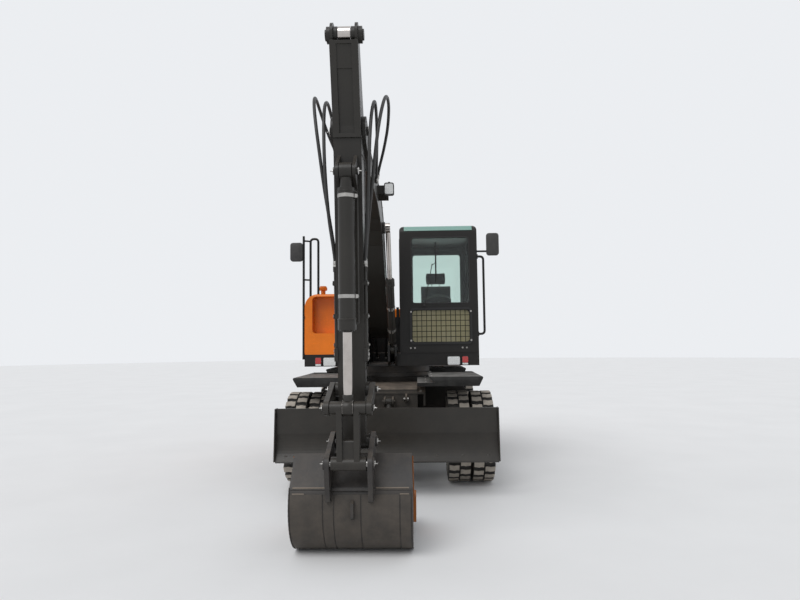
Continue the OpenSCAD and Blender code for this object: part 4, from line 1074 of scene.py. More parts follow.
def make_door():
    outline = rect(DOOR_Y[0] + 5, DOOR_Z[0] + 5, DOOR_Y[1] - 5, DOOR_Z[1] - 5, 28)
    door = Block().side(outline, CAB_X[1] - WALL, CAB_X[1])
    holes = Block().side(pane(*DOOR_HIGH), *LEFT_CUT)
    holes.side(pane(*DOOR_LOW), *LEFT_CUT)
    holes.side(rect(DOOR_Y[0] + 18, 2060, DOOR_Y[0] + 68, 2200, 14), CAB_X[1] - 14, CAB_X[1] + 5)
    door.less(holes)
    form("door_panel", door, "cab_paint", "cab_door_body", "cab_door")
    glass_pair = Block().side(pane(*DOOR_HIGH), *LEFT_GLASS)
    glass_pair.side(pane(*DOOR_LOW), *LEFT_GLASS)
    form("door_panes", glass_pair, "glass", "cab_door_body", "door_glass")
    seals = Shape()
    for outline in (DOOR_HIGH, DOOR_LOW):
        seals.tube([mm_at(CAB_X[1] - 2, u, v) for u, v in seal_line(outline)], 0.008, 8, True)
    piece("door_seals", seals, "seal", "cab_door_body")
    handle = Block().side(rect(DOOR_Y[0] + 34, 2070, DOOR_Y[0] + 52, 2190, 8), CAB_X[1] - 15, CAB_X[1] + 13)
    handle.side(disc((DOOR_Y[0] + 43, 2035), 26), CAB_X[1] - 2, CAB_X[1] + 4)
    piece("door_handle", handle, "bright", "cab_door_body")
    for name, body, y, drop in (("door", "cab_door_body", 95, 0), ("frame", "upper", 150, 62)):
        leaves = Block()
        for z in (1700 - drop, 2700 - drop):
            leaves.plan(disc((1107, 150), 24), z, z + 60)
            leaves.side(rect(y, z + 6, y + 55, z + 54, 6), CAB_X[1] - 1, CAB_X[1] + 7)
        piece(f"{name}_hinge_leaves", leaves, "cab_paint", body)


GUARD = (SCREEN_X[0] - 22, LOW_Z[0] - 22, SCREEN_X[1] + 22, LOW_Z[1] + 22)


def make_guard():
    x0, z0, x1, z1 = GUARD
    rim = Block().front(rect(x0, z0, x1, z1, 55), CAB_Y[0] - 24, CAB_Y[0] - 4)
    rim.less(Block().front(rect(x0 + 28, z0 + 28, x1 - 28, z1 - 28, 30), CAB_Y[0] - 30, CAB_Y[0] + 2))
    form("guard_rim", rim, "guard_paint", "upper", "front_guard")
    wires = Shape()
    columns, rows = 12, 6
    for i in range(columns + 1):
        x = x0 + 28 + (x1 - x0 - 56) * i / columns
        wires.rod(mm_at(x, CAB_Y[0] - 16, z0 + 22), mm_at(x, CAB_Y[0] - 16, z1 - 22), 0.0042, 8)
    for j in range(rows + 1):
        z = z0 + 28 + (z1 - z0 - 56) * j / rows
        wires.rod(mm_at(x0 + 22, CAB_Y[0] - 11.5, z), mm_at(x1 - 22, CAB_Y[0] - 11.5, z), 0.0042, 8)
    form("guard_wires", wires, "guard_wire", "upper", "front_guard")
    studs = Shape()
    for x in (x0 + 16, x1 - 16):
        for z in (z0 + 50, z1 - 50):
            studs.bolt(mm_at(x, CAB_Y[0] - 24, z), (0, -1, 0), 0.011)
    for x in (x0 + 8, x0 + 60):
        studs.bolt(mm_at(x, CAB_Y[0] - 11, DECK + 70), (0, -1, 0), 0.010)
        studs.bolt(mm_at(CAB_X[1] - x + CAB_X[0] - 20, CAB_Y[0] - 11, DECK + 70), (0, -1, 0), 0.010)
    piece("guard_bolts", studs, "plated", "upper")


def rail(shape, points, radius=15, turn=0.045):
    """A bent round rail; points in millimetres, corners rounded."""
    points = [Vector(p) / 1000 for p in points]
    path = [points[0]]
    for a, b, c in zip(points, points[1:], points[2:]):
        p, q = b + (a - b).normalized() * turn, b + (c - b).normalized() * turn
        for k in range(6):
            t = k / 5
            path.append(p * (1 - t) ** 2 + b * 2 * t * (1 - t) + q * t * t)
    path.append(points[-1])
    shape.tube(path, radius / 1000, 12)


# Rows are the mirror's name, centre, width and height, and its arm's points
MIRRORS = (
    ("mirror_left", (1289, -790, 2817), (157, 284),
     ((CAB_X[1] - 2, -735, 2740), (1289, -735, 2740), (1289, -735, 2880))),
    ("mirror_right", (-1198, -790, 2753), (159, 240),
     ((-1110, -785, 2753), (-1140, -760, 2753), (-1198, -745, 2753))),
)


def make_rails_and_mirrors():
    rails = Shape()
    x, y = 1173, CAB_Y[0] + 40
    rail(rails, [(CAB_X[1] - 2, y, 1690), (x, y, 1690), (x, y, 2670), (CAB_X[1] - 2, y, 2670)])
    post, back = -HOUSE_HALF - 15, NOSE + 15
    rails.rod(mm_at(post, back, DECK - 60), mm_at(post, back, 2960), 0.015, 14, 0.002)
    bend = ((-1030, 2100), (-1030, 2930), (-930, 2930), (-930, 2190))
    rail(rails, [(u, back + 45, v) for u, v in bend])
    for z in (2400, 2900):
        rails.rod(mm_at(post, back, z), mm_at(-1030, back + 45, z), 0.011, 10)
    for z in (DECK - 20, 1900):
        rails.box(mm_at(post - 4, back - 25, z), mm_at(post + 17, back + 25, z + 40), 0.003)
    form("grab_rails", rails, "black_paint", "upper", "handrails")
    feet = Shape()
    for z in (1690, 2670):
        feet.lathe(mm_at(CAB_X[1] - 1, y, z), (1, 0, 0), [(0.030, 0), (0.030, 0.006), (0.018, 0.010)], 20)
        for s in (-1, 1):
            feet.bolt(mm_at(CAB_X[1] + 5, y, z + 22 * s), (1, 0, 0), 0.007)
    piece("rail_feet", feet, "black_paint", "upper")
    for name, centre, size, stem in MIRRORS:
        cx, cy, cz = centre
        half_w, half_h = size[0] / 2, size[1] / 2
        housing = Shape()
        rings = []
        for depth, grow in ((-28, 0.93), (-24, 1.0), (4, 1.0), (22, 0.92), (38, 0.72), (44, 0.50)):
            outline = rect(-half_w * grow, -half_h * grow, half_w * grow, half_h * grow, 34 * grow)
            rings.append([housing.bm.verts.new(mm_at(cx + u, cy + depth, cz + v)) for u, v in outline])
        housing.loft(rings)
        form(name, housing, "plastic", "upper", "mirrors", smooth_under=50)
        arm_shape = Shape()
        rail(arm_shape, stem, 12, 0.020)
        piece(f"{name}_arm", arm_shape, "black_paint", "upper")
        face = Shape()
        # The mirrors look back along the machine from their rear faces
        outline = rect(-half_w * 0.46, -half_h * 0.46, half_w * 0.46, half_h * 0.46, 14)
        face.prism([mm_at(cx + u, cy + 44.5, cz + v) for u, v in outline], (0, 0.002, 0))
        piece(f"{name}_face", face, "mirror_glass", "upper")


def make_lamps():
    housings, white, red, bezels = Block(), Block(), Block(), Shape()
    for side in (-1, 1):
        for x, width in ((776, 150), (918, 70)):
            x0, x1 = side * x - width / 2, side * x + width / 2
            housings.front(rect(x0 - 6, 1304, x1 + 6, 1416, 18), NOSE - 22, NOSE + 8)
            if width > 100:
                white.front(rect(x0, 1310, x1, 1410, 14), NOSE - 30, NOSE - 18)
                for k in range(1, 12):
                    u = x0 + width * k / 12
                    white.front(rect(u - 2, 1318, u + 2, 1402), NOSE - 31.5, NOSE - 29)
            else:
                red.front(rect(x0, 1334, x1, 1410, 12), NOSE - 30, NOSE - 18)
                white.front(rect(x0, 1310, x1, 1331, 8), NOSE - 29, NOSE - 18)
                for k in range(1, 7):
                    v = 1334 + 76 * k / 7
                    red.front(rect(x0 + 6, v - 1.5, x1 - 6, v + 1.5), NOSE - 31.5, NOSE - 29)
            for s in (-1, 1):
                spot = mm_at(side * x + s * (width / 2 + 1), NOSE - 21, 1360)
                bezels.bolt(spot, (0, -1, 0), 0.004)
    form("front_lamp_housings", housings, "plastic", "upper", "lamps")
    form("front_lamp_lenses", white, "lamp", "upper", "lamps")
    form("front_lamp_red", red, "red_lens", "upper", "lamps")
    piece("front_lamp_screws", bezels, "plated", "upper")

    # Work lamp on the boom's side
    case, cover = Block(), Block()
    case.front(rect(13, 3067, 113, 3191, 20), -2416, -2362)
    case.less(Block().front(rect(21, 3075, 105, 3183, 14), -2420, -2402))
    for k in range(5):
        case.front(rect(24 + 18 * k, 3078, 30 + 18 * k, 3180), -2363, -2350)
    case.side([(-2395, 3185), (-2365, 3185), (-2365, 3204), (-2395, 3204)], 52, 74)
    piece("work_lamp_case", case, "plastic", "boom")
    cover.front(rect(22, 3076, 104, 3182, 13), -2413, -2405)
    piece("work_lamp_lens", cover, "lamp", "boom")
    bracket = Block().side([(-2361, 3178), (-2361, 3090), (-2212, 3055), (-2195, 3120)], -52, 50)
    piece("work_lamp_bracket", bracket, "dark_paint", "boom")


make_cab()
make_door()
make_guard()
make_rails_and_mirrors()
make_lamps()


def make_side_body():
    across = (
        [(BODY_IN, DECK), (BODY_IN, BODY_TOP - 60)]
        + arc((BODY_IN - 60, BODY_TOP - 60), 60, 0, 90, 7)
        + arc((-HOUSE_HALF + 170, BODY_TOP - 170), 170, 90, 180, 14)
        + [(-HOUSE_HALF, DECK)]
    )
    along = (
        [(NOSE, DECK - 1)]
        + arc((NOSE + 40, BODY_TOP - 40), 40, 180, 90, 6)
        + [(BAY_Y[0] - 205, BODY_TOP), (BAY_Y[0] - 5, HOOD_TOP), (BAY_Y[0] - 5, DECK - 1)]
    )
    shell = Block().front(across, NOSE - 2, BAY_Y[0] - 4)
    shell.within(Block().side(along, -HOUSE_HALF - 5, BODY_IN + 5))
    recess = rect(-997, BODY_TOP - 500, -680, BODY_TOP - 35, 45)
    shell.less(Block().front(recess, NOSE - 5, NOSE + 150))
    groove = rect(-590, DECK + 40, BAY_Y[0] - 248, BODY_TOP - 210, 30)
    lid = rect(-580, DECK + 50, BAY_Y[0] - 258, BODY_TOP - 220, 24)
    groove = Block().side(groove, -HOUSE_HALF - 5, -HOUSE_HALF + 8)
    shell.less(groove.less(Block().side(lid, -HOUSE_HALF - 9, -HOUSE_HALF + 12)))
    slots = Block()
    for z in range(DECK + 90, DECK + 426, 42):
        slots.side(rect(BAY_Y[0] - 210, z, BAY_Y[0] - 50, z + 18, 8), -HOUSE_HALF - 5, -HOUSE_HALF + 30)
    shell.less(slots)
    form("side_body_shell", shell, "orange_paint", "upper", "side_body")
    cap = Shape()
    at = mm_at(-HOUSE_HALF + 205, -600, BODY_TOP - 2)
    cap.lathe(at, (0, 0, 1), [(0.038, 0), (0.038, 0.004), (0.030, 0.008), (0.030, 0.062)], 32)
    form("filler_neck", cap, "orange_paint", "upper", "side_body")
    lid = Shape()
    rows = [(0.048, 0), (0.050, 0.004), (0.050, 0.040), (0.045, 0.047), (0.042, 0.056), (0.020, 0.059)]
    lid.lathe(at + Vector((0, 0, 0.061)), (0, 0, 1), rows, 32)
    for x, y in circle(0.0505, 16):
        lid.box(at + Vector((x - 0.002, y - 0.002, 0.066)), at + Vector((x + 0.002, y + 0.002, 0.098)), 0)
    form("filler_cap", lid, "orange_paint", "upper", "side_body")
    latches = Block()
    for z in (DECK + 120, DECK + 420):
        latches.side(rect(-560, z, -505, z + 62, 12), -HOUSE_HALF - 6, -HOUSE_HALF + 2)
        latches.side(rect(-550, z + 14, -515, z + 48, 8), -HOUSE_HALF - 10, -HOUSE_HALF - 4)
    piece("side_body_latches", latches, "plastic", "upper")


def tail_spot(side):
    """For Block.push: (across, up, out) on a rear lamp's face of the counterweight, as (x, y, z)."""
    turn = atan2(760, TAIL_R)
    return lambda u, v, w: (side * (u * cos(turn) + w * sin(turn)), w * cos(turn) - u * sin(turn), v)


def make_bay():
    y0, y1 = BAY_Y
    along = (
        [(y0 + 5, BAY_TOP + 5), (y0 + 5, HOOD_TOP - 20), (y0 + 25, HOOD_TOP)]
        + arc((y1 - 125, HOOD_TOP - 100), 100, 90, 0, 8)
        + [(y1 - 25, BAY_TOP + 5)]
    )
    across = (
        [(-HOUSE_HALF, BAY_TOP), (HOUSE_HALF, BAY_TOP)]
        + arc((HOUSE_HALF - 70, HOOD_TOP - 69), 70, 0, 90, 7)
        + arc((-HOUSE_HALF + 70, HOOD_TOP - 69), 70, 90, 180, 7)
    )
    hood = Block().side(along, -HOUSE_HALF - 5, HOUSE_HALF + 5)
    hood.within(Block().front(across, y0 - 5, y1 + 5))
    inside = HOUSE_HALF - 25
    hood.less(Block().cuboid((-inside, y0 + 30, BAY_TOP - 5), (inside, y1 - 50, HOOD_TOP - 50)))
    slots = Block()
    for x in (-880, 380):
        for i in range(10):
            y = y0 + 150 + (y1 - y0 - 350) / 9 * i
            slots.plan(rect(x, y, x + 500, y + 18, 8), HOOD_TOP - 70, HOOD_TOP + 5)
    hood.less(slots)
    form("hood_shell", hood, "orange_paint", "hood", "engine_hood")
    fittings = Block()
    fittings.cuboid((-90, y1 - 26, BAY_TOP + 12), (90, y1 - 8, BAY_TOP + 46))
    fittings.front(rect(-60, BAY_TOP + 16, 60, BAY_TOP + 42, 10), y1 - 8, y1 + 2)
    piece("hood_latch", fittings, "plastic", "hood")
    for tag, side in SIDES:
        body = f"side_door_{tag}_body"
        skin = side * HOUSE_HALF
        door = Block().side(rect(y0 + 25, DECK + 5, y1 - 25, BAY_TOP - 5, 20), skin - side * 25, skin)
        swell = rect(y0 + 85, DECK + 60, y1 - 85, BAY_TOP - 60, 24)
        door.plus(Block().side(swell, skin - side * 10, skin + side * 8))
        slots = Block()
        for z in range(DECK + 95, DECK + 458, 33):
            slots.side(rect(y0 + 125, z, y1 - 125, z + 15, 7), skin - side * 65, skin + side * 40)
        door.less(slots)
        form(f"side_door_{tag}_panel", door, "orange_paint", body, f"side_door_{tag}")
        latch = rect(y1 - 74, DECK + 250, y1 - 36, DECK + 340, 12)
        latch = Block().side(latch, skin - side * 2, skin + side * 14)
        piece(f"side_door_{tag}_latch", latch, "plastic", body)
        for owner, carrier, drop in (("door", body, 0), ("frame", "upper", 52)):
            leaf = Block()
            for z in (DECK + 130 - drop, BAY_TOP - 130 - drop):
                leaf.plan(disc((side * 1107, y0 + 22), 24), z, z + 50)
                if owner == "door":
                    leaf.side(rect(y0 + 22, z + 6, y0 + 80, z + 44, 6), side * 1092, side * 1103)
            piece(f"side_door_{tag}_{owner}_knuckles", leaf, "orange_paint", carrier)

    top = HOOD_TOP - 60
    profile = (
        [(0, 1262), (TAIL_R - 150, 1262)]
        + arc((TAIL_R - 90, 1352), 90, -90, 0, 8)
        + [(TAIL_R, 1489), (TAIL_R - 12, 1491), (TAIL_R - 12, 1629), (TAIL_R, 1631), (TAIL_R, top - 200)]
        + arc((TAIL_R - 130, top - 130), 130, 0, 90, 10)
        + [(0, top)]
    )
    weight = Shape()
    weight.lathe((0, 0, 0), (0, 0, 1), [(max(r, 1) / 1000, z / 1000) for r, z in profile], 120)
    body = Block()
    body.bm = weight.bm
    body.within(Block().cuboid((-HOUSE_HALF, y1, 1260), (HOUSE_HALF, TAIL_R + 50, top + 10)))
    pockets, red, amber, cases = Block(), Block(), Block(), Block()
    for side in (-1, 1):
        spot = tail_spot(side)
        pockets.push(rect(-160, 1495, 160, 1625, 20), spot, TAIL_R - 60, TAIL_R + 60)
        for u0, u1, lamp in ((-135, -5, red), (25, 135, amber)):
            lamp.push(rect(u0, 1512, u1, 1608, 14), spot, TAIL_R - 52, TAIL_R - 26)
            for v in range(1524, 1608, 12):
                lamp.push(rect(u0 + 8, v - 2, u1 - 8, v + 2), spot, TAIL_R - 27, TAIL_R - 24)
            cases.push(rect(u0 - 7, 1504, u1 + 7, 1616, 18), spot, TAIL_R - 61, TAIL_R - 45)
    body.less(pockets)
    form("counterweight_casting", body, "orange_paint", "upper", "counterweight")
    piece("rear_lamp_red", red, "red_lens", "upper")
    piece("rear_lamp_amber", amber, "amber_lens", "upper")
    piece("rear_lamp_cases", cases, "plastic", "upper")
    for hand, x in (("right", -510), ("left", 480)):
        low, high = (TAIL_R - 230, top - 20), (TAIL_R - 230, top + 40)
        ring = Block().side(link(low, high, 120, 90), x, x + 30)
        ring.less(Block().side(disc(high, 44), x - 5, x + 35))
        piece(f"lifting_eye_{hand}", ring, "orange_paint", "upper")
    pipe = Shape()
    at = mm_at(-600, y1 + 110, top)
    flange = [(0.066, 0), (0.066, 0.010), (0.052, 0.040), (0.045, 0.046)]
    pipe.lathe(at - Vector((0, 0, 0.004)), (0, 0, 1), flange, 36)
    bend = ((0, 0, 0.02), (0, 0, 0.12), (0, 0, 0.20), (0, 0.035, 0.262), (0, 0.095, 0.300))
    pipe.tube(smooth_path([at + Vector(p) for p in bend], 5), 0.040, 24)
    form("exhaust_pipe", pipe, "exhaust", "upper", "exhaust")
    # A near-black disc on the capped pipe's end: soot and painted shade where the open bore would be
    rain = Shape()
    rain.tube([at + Vector((0, 0.088, 0.296)), at + Vector((0, 0.100, 0.303))], 0.034, 24)
    piece("exhaust_mouth", rain, "soot_and_painted_bore_shade", "upper")


# Seat: cushions swollen by a short cloth simulation
SEAT_X = 602.5
FLOOR = 1495
SWELL_FRAMES = 20


def cushion(name, outline, low, high, swell):
    """A pad from a side outline in even small faces: it swells by so much at most, then is smoothed."""
    pad = place(name, Block().side(outline, low, high).mesh(name, "seat", 60), None, "seat")
    remesh = pad.modifiers.new("even", "REMESH")
    remesh.mode = "VOXEL"
    remesh.voxel_size = 0.008
    even = evaluated(pad)
    pad.modifiers.clear()
    pad.data = even
    even.name = name
    start = [v.co.copy() for v in even.vertices]
    cloth = pad.modifiers.new("swell", "CLOTH")
    cloth.settings.use_pressure = True
    cloth.settings.uniform_pressure_force = 4
    cloth.settings.effector_weights.gravity = 0
    cloth.point_cache.frame_start = 1
    cloth.point_cache.frame_end = SWELL_FRAMES
    scene = bpy.context.scene
    for number in range(1, SWELL_FRAMES + 1):
        scene.frame_set(number)
    swollen = evaluated(pad)
    ends = [v.co.copy() for v in swollen.vertices]
    pad.modifiers.clear()
    bpy.data.meshes.remove(swollen)
    scene.frame_set(1)
    for vert, first, last in zip(even.vertices, start, ends):
        move = last - first
        if move.length > swell:
            move *= swell / move.length
        vert.co = first + move
    bm = bmesh.new()
    bm.from_mesh(even)
    for _ in range(3):
        bmesh.ops.smooth_vert(
            bm, verts=bm.verts, factor=0.5, use_axis_x=True, use_axis_y=True, use_axis_z=True
        )
    for face in bm.faces:
        face.smooth = True
    bm.to_mesh(even)
    bm.free()
    even.materials.clear()
    even.materials.append(MATERIALS["seat"])
    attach(pad, "upper")
    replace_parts(pad, "seat")


def seat_line(*points):
    """An outline of (y, height over the floor)."""
    return [(y, FLOOR + z) for y, z in points]


def make_seat():
    base = seat_line((15, 308), (0, 360), (20, 405), (350, 392), (425, 400), (425, 308))
    back = seat_line((372, 420), (452, 900), (490, 935), (525, 900), (505, 430))
    rest = rect(452, FLOOR + 950, 525, FLOOR + 1115, 25)
    for name, outline, half, swell in (
        ("seat_cushion", base, 235, 0.010), ("seat_back", back, 225, 0.010),
        ("seat_headrest", rest, 135, 0.008),
    ):
        cushion(name, outline, SEAT_X - half, SEAT_X + half, swell)
    stand = seat_line((90, 0), (90, 60), (150, 200), (60, 296), (435, 296), (435, 0))
    frame_shape = Block().side(stand, SEAT_X - 170, SEAT_X + 170)
    pleats = Block()
    for k in range(7):
        z = FLOOR + 85 + 28 * k
        pleats.side(rect(70, z, 440, z + 12, 5), SEAT_X - 200, SEAT_X + 200)
    form("seat_base", frame_shape, "plastic", "upper", "seat")
    piece("seat_bellows", pleats, "seal", "upper")
    for tag, x in (("l", SEAT_X - 55), ("r", SEAT_X + 55)):
        post = Shape()
        post.rod(mm_at(x, 490, FLOOR + 900), mm_at(x, 488, FLOOR + 970), 0.006, 10)
        piece(f"headrest_post_{tag}", post, "chrome", "upper")


make_side_body()
make_bay()
make_seat()


# Undercarriage, in millimetres: the mudguards start just off the beam's side
BEAM_HALF = 320.3
GUARD_LINE = (
    (BEAM_HALF, 1108), (995, 1108), (1035, 1201), (1027, 1213), (450, 1213), (510, 1148), (BEAM_HALF, 1148),
)
BOX_LINE = (
    (320, 580), (380, 520), (1080, 520), (1120, 560), (1120, 760), (940, 790), (940, 990), (910, 1020),
    (320, 1020),
)


def make_undercarriage():
    guards, bolts = Block(), Shape()
    for y0, y1 in ((-1800, -480), (560, 1800)):
        for side in (-1, 1):
            guard = Block().front([(side * u, v) for u, v in GUARD_LINE], y0, y1)
            along = [(y0, 1213), (y0, 1183), (y0 + 45, 1108), (y1 - 45, 1108), (y1, 1183), (y1, 1213)]
            guard.within(Block().side(along, side * 300, side * 1040))
            under = [(y0 + 70, 1100), (y0 + 40, 1196), (y1 - 40, 1196), (y1 - 70, 1100)]
            guard.less(Block().side(under, side * 560, side * 985))
            name = f"mudguard_{'l' if side > 0 else 'r'}_{'front' if y0 < 0 else 'rear'}"
            form(name, guard, "guard_paint_dusty", "chassis", "mudguards")
            for y in (y0 + 160, (y0 + y1) / 2, y1 - 160):
                for x in (420, 480):
                    bolts.bolt(mm_at(side * x, y, 1148 if x < 430 else 1212), (0, 0, 1), 0.012)
            guards.cuboid((side * BEAM_HALF, max(y0 + 45, -1290), 1060), (side * 345, y1 - 45, 1110))
    form("mudguard_feet", guards, "black_paint", "chassis", "mudguards")
    piece("mudguard_bolts", bolts, "plated", "chassis")

    boxes, treads = Block(), Shape()
    for tag, side in SIDES:
        box = Block().front([(side * u, v) for u, v in BOX_LINE], -430, 430)
        cuts = Block()
        for y in (-390, 60):
            cuts.cuboid((side * 1010, y, 580), (side * 1130, y + 330, 620))
        box.less(cuts)
        form(f"side_box_{tag}", box, "black_paint", "chassis", "side_boxes")
        boxes.cuboid((side * 938, -370, 810), (side * 956, 370, 980))
        boxes.cuboid((side * 1110, -60, 630), (side * 1132, 60, 654))
        for row in range(9):
            for column in range(3):
                at = mm_at(side * (985 + 45 * column), -360 + 90 * row, 770 - 15 * column / 2)
                treads.lathe(at, (0, 0, 1), [(0.012, 0), (0.010, 0.006), (0.004, 0.007)], 10)
        knob = [(0.016, 0), (0.016, 0.008), (0.008, 0.014)]
        for y in (-300, 0, 300):
            treads.lathe(mm_at(side * 956, y, 895), (side, 0, 0), knob, 14)
    piece("side_box_lids", boxes, "black_paint", "chassis")
    piece("side_box_treads", treads, "plated", "chassis")

    head = Block()
    low = 1028
    head.side([(-1528, low - 22), (-1528, low + 2), (-1300, 1092), (-1300, 1068)], -410, 410)
    for x in (-410, 388):
        head.side([(-1520, low - 150), (-1520, low - 4), (-1300, 1084), (-1300, 1020)], x, x + 22)
    for x in (-205, 183):
        head.side(link((-1500, low - 60), (-1548, low - 72), 110, 84), x, x + 22)
    piece("beam_head_plate", head, "chassis_paint", "chassis")
    pins = Shape()
    for x in (-194, 194):
        pins.rod(mm_at(x - 30, -1548, 956), mm_at(x + 30, -1548, 956), 0.019, 20, 0.003)
    for x in (-360, -120, 120, 360):
        pins.bolt(mm_at(x, -1500, 1038), (0, -0.27, 0.96), 0.014)
    piece("beam_head_pins", pins, "plated", "chassis")

    ring = Shape()
    for x, y in circle(0.470, 40):
        ring.bolt((x, y, 1.0915), (0, 0, 1), 0.014)
    piece("slew_ring_bolts", ring, "plated", "chassis")


def make_blade_trim():
    """Bolts along the blade's cutting edge and the welds over the blade."""
    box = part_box("blade_panel")
    left, right = box[0][0], box[1][0]
    front_y, low_z = box[0][1], box[0][2]
    trim = Shape()
    head = [(0.017, 0), (0.017, 0.006), (0.012, 0.011)]
    for k in range(9):
        x = left + 0.12 + (right - left - 0.24) * k / 8
        trim.lathe((x, front_y + 0.052, low_z + 0.062), (0, -1, 0), head, 16)
    piece("blade_edge_bolts", trim, "cast", "blade")
    seams = Shape()
    for x in (left + 0.020, right - 0.020):
        line = ((0.072, 0.03), (0.100, 0.25), (0.066, 0.50))
        seams.weld([(x, front_y + y, low_z + z) for y, z in line], 0.006)
    piece("blade_welds", seams, "dark_paint", "blade")


# Working gear: boom and arm with their sunk side panels, pipes, plates and pins
BOOM_HALF = 120
BOOM_LEN = 3696
ARM_HALF = 100
ARM_CLAMPS = ((1150, 98), (1400, 79), (1620, 60))
GEAR_MM = GEAR_X * 1000


def mm(yz):
    return (yz[0] * 1000, yz[1] * 1000)


def line_on(member, points):
    """An outline of (s, t) in millimetres on the boom or the arm, as (y, z) in millimetres."""
    return [mm(member(s / 1000, t / 1000)) for s, t in points]


def spot_on(member, x, s, t):
    """A point x off the gear's middle plane and (s, t) on the boom or the arm, all in millimetres."""
    return gear(x / 1000, member(s / 1000, t / 1000))


def both_sides(low, high):
    """The X spans of a plate on each side of the gear's middle plane."""
    return ((GEAR_MM + low, GEAR_MM + high), (GEAR_MM - high, GEAR_MM - low))


def flange_pair(member, outline, pocket, half, thick):
    """Two side plates with a sunk panel each."""
    plates = []
    for x0, x1 in both_sides(half - 1, half + thick):
        cut = Block().side(line_on(member, pocket), x0 - 5, x1 + 5)
        plates.append(Block().side(line_on(member, outline), x0, x1).less(cut))
    return joined(plates)


def make_boom():
    fork = BOOM_LEN - 380
    top = [(200, 200), (1250, 690), (1500, 755), (1750, 760), (2100, 690), (fork, 165)]
    bottom = [(fork, -75), (2400, 290), (2000, 380), (1750, 395), (1500, 360), (1100, 215), (200, -60)]
    pocket = [
        (330, 243), (1250, 672), (1500, 737), (1750, 742), (2100, 672), (3200, 197), (3200, -11),
        (2400, 308), (2000, 398), (1750, 413), (1500, 378), (1100, 233), (330, -3),
    ]
    piece("boom_flanges", flange_pair(on_boom, top + bottom, pocket, BOOM_HALF, 6), "dark_paint", "boom")
    seams = Shape()
    for side in (-1, 1):
        for line in (pocket[0:6], pocket[6:13]):
            seams.weld([spot_on(on_boom, side * (BOOM_HALF + 1), s, t) for s, t in line], 0.0045)
    piece("boom_welds", seams, "dark_paint", "boom")

    pipe_line = [(480, 352), (1250, 712), (1500, 778), (1750, 783), (2100, 713), (2560, 514)]
    pipes, clamps = Shape(), Shape()
    for side in (-1, 1):
        for across in (98, 62):
            ends = [spot_on(on_boom, side * across, s, t + 4) for s, t in pipe_line]
            pipes.tube(smooth_path(ends, 5), 0.012, 12)
            for at, beyond in ((ends[0], ends[1]), (ends[-1], ends[-2])):
                pipes.lathe(at, beyond - at, [(0.0175, 0), (0.0175, 0.030), (0.014, 0.034)], 6)
        for s, t in ((600, 408), (1000, 595), (1350, 740), (1600, 782), (1900, 754), (2300, 630)):
            centre = spot_on(on_boom, side * 80, s, t)
            along, up = [(spot_on(on_boom, side * 80, *at) - centre) / 2 for at in ((s + 30, t), (s, t + 30))]
            up.normalize()
            across = Vector((0.038, 0, 0))
            foot = centre - up * 0.030
            corners = ((-1, -1), (1, -1), (1, 1), (-1, 1))
            clamps.prism([foot + across * u + along * v for u, v in corners], up * 0.052, 0.95)
            clamps.bolt(centre + up * 0.022, up, 0.009)
    piece("boom_pipes", pipes, "dark_paint", "boom")
    piece("boom_pipe_clamps", clamps, "plated", "boom")


def make_arm():
    pocket = [
        (200, 135), (360, 126), (1300, 81), (1560, 50), (1830, 46), (1830, -54), (1300, -101),
        (360, -136), (200, -136),
    ]
    outer = [
        (60, 158), (360, 140), (1300, 95), (1560, 64), (1960, 60), (1960, -66), (1300, -115),
        (360, -150), (60, -150),
    ]
    piece("arm_flanges", flange_pair(on_arm, outer, pocket, ARM_HALF, 5), "dark_paint", "arm")

    plate = Block()
    sides = [(-568, 298), (-568, 322), (-390, 275), (0, 181), (90, 176), (90, 146), (0, 155), (-390, 250)]
    for x0, x1 in both_sides(56, ARM_HALF + 4):
        plate.side(line_on(on_arm, sides), x0, x1)
    panel = [(-385, 240), (-500, 268), (-540, 293), (-566, 302), (-566, 311), (-385, 266)]
    plate.side(line_on(on_arm, panel), GEAR_MM - 81, GEAR_MM + 81)
    upper_end = [(-567, 300), (-567, 322), (-545, 316), (-545, 294)]
    lower_end = [(60, 146), (60, 177), (90, 176), (90, 146)]
    for end in (upper_end, lower_end):
        plate.side(line_on(on_arm, end), GEAR_MM - 57, GEAR_MM + 57)
    piece("arm_front_plate", plate, "dark_paint", "arm")

    pipes, clamps, valves = Shape(), Block(), Block()
    for side in (-1, 1):
        for points, t in ((LOOP_OUTER, 8), (LOOP_INNER, 58)):
            end = mm_at(GEAR_MM + side * 113, *points[-1][1:])
            stop = spot_on(on_arm, side * 113, 1700, t)
            end += (stop - end).normalized() * 0.0006
            pipes.rod(end, stop, 0.012, 12)
            pipes.lathe(end, stop - end, [(0.0185, 0), (0.0185, 0.034), (0.0145, 0.038)], 6)
    for s, t in ARM_CLAMPS:
        for x0, x1 in both_sides(ARM_HALF, 131):
            clamps.side(line_on(on_arm, [(s, -8), (s, t), (s + 36, t - 2), (s + 36, -10)]), x0, x1)
    for x0, x1 in both_sides(ARM_HALF, 127):
        valves.side(line_on(on_arm, [(1660, -20), (1660, 84), (1760, 78), (1760, -24)]), x0, x1)
    piece("arm_pipes_and_clamps", pipes, "dark_paint", "arm")
    piece("arm_pipe_clamps", clamps, "dark_paint", "arm")
    piece("arm_valve_blocks", valves, "dark_paint", "arm")
    studs = Shape()
    for side in (-1, 1):
        rows = [(131, s + 18, t - 45) for s, t in ARM_CLAMPS]
        rows += [(124, 1680, 62), (124, 1740, 60), (124, 1680, 0), (124, 1740, -2)]
        for x, s, t in rows:
            studs.bolt(spot_on(on_arm, side * x, s, t), (side, 0, 0), 0.010)
        plug = [(0.020, 0), (0.020, 0.014), (0.010, 0.018)]
        studs.lathe(spot_on(on_arm, side * 118, 1710, 30), (side, 0, 0), plug, 6)
    piece("arm_studs", studs, "plated", "arm")


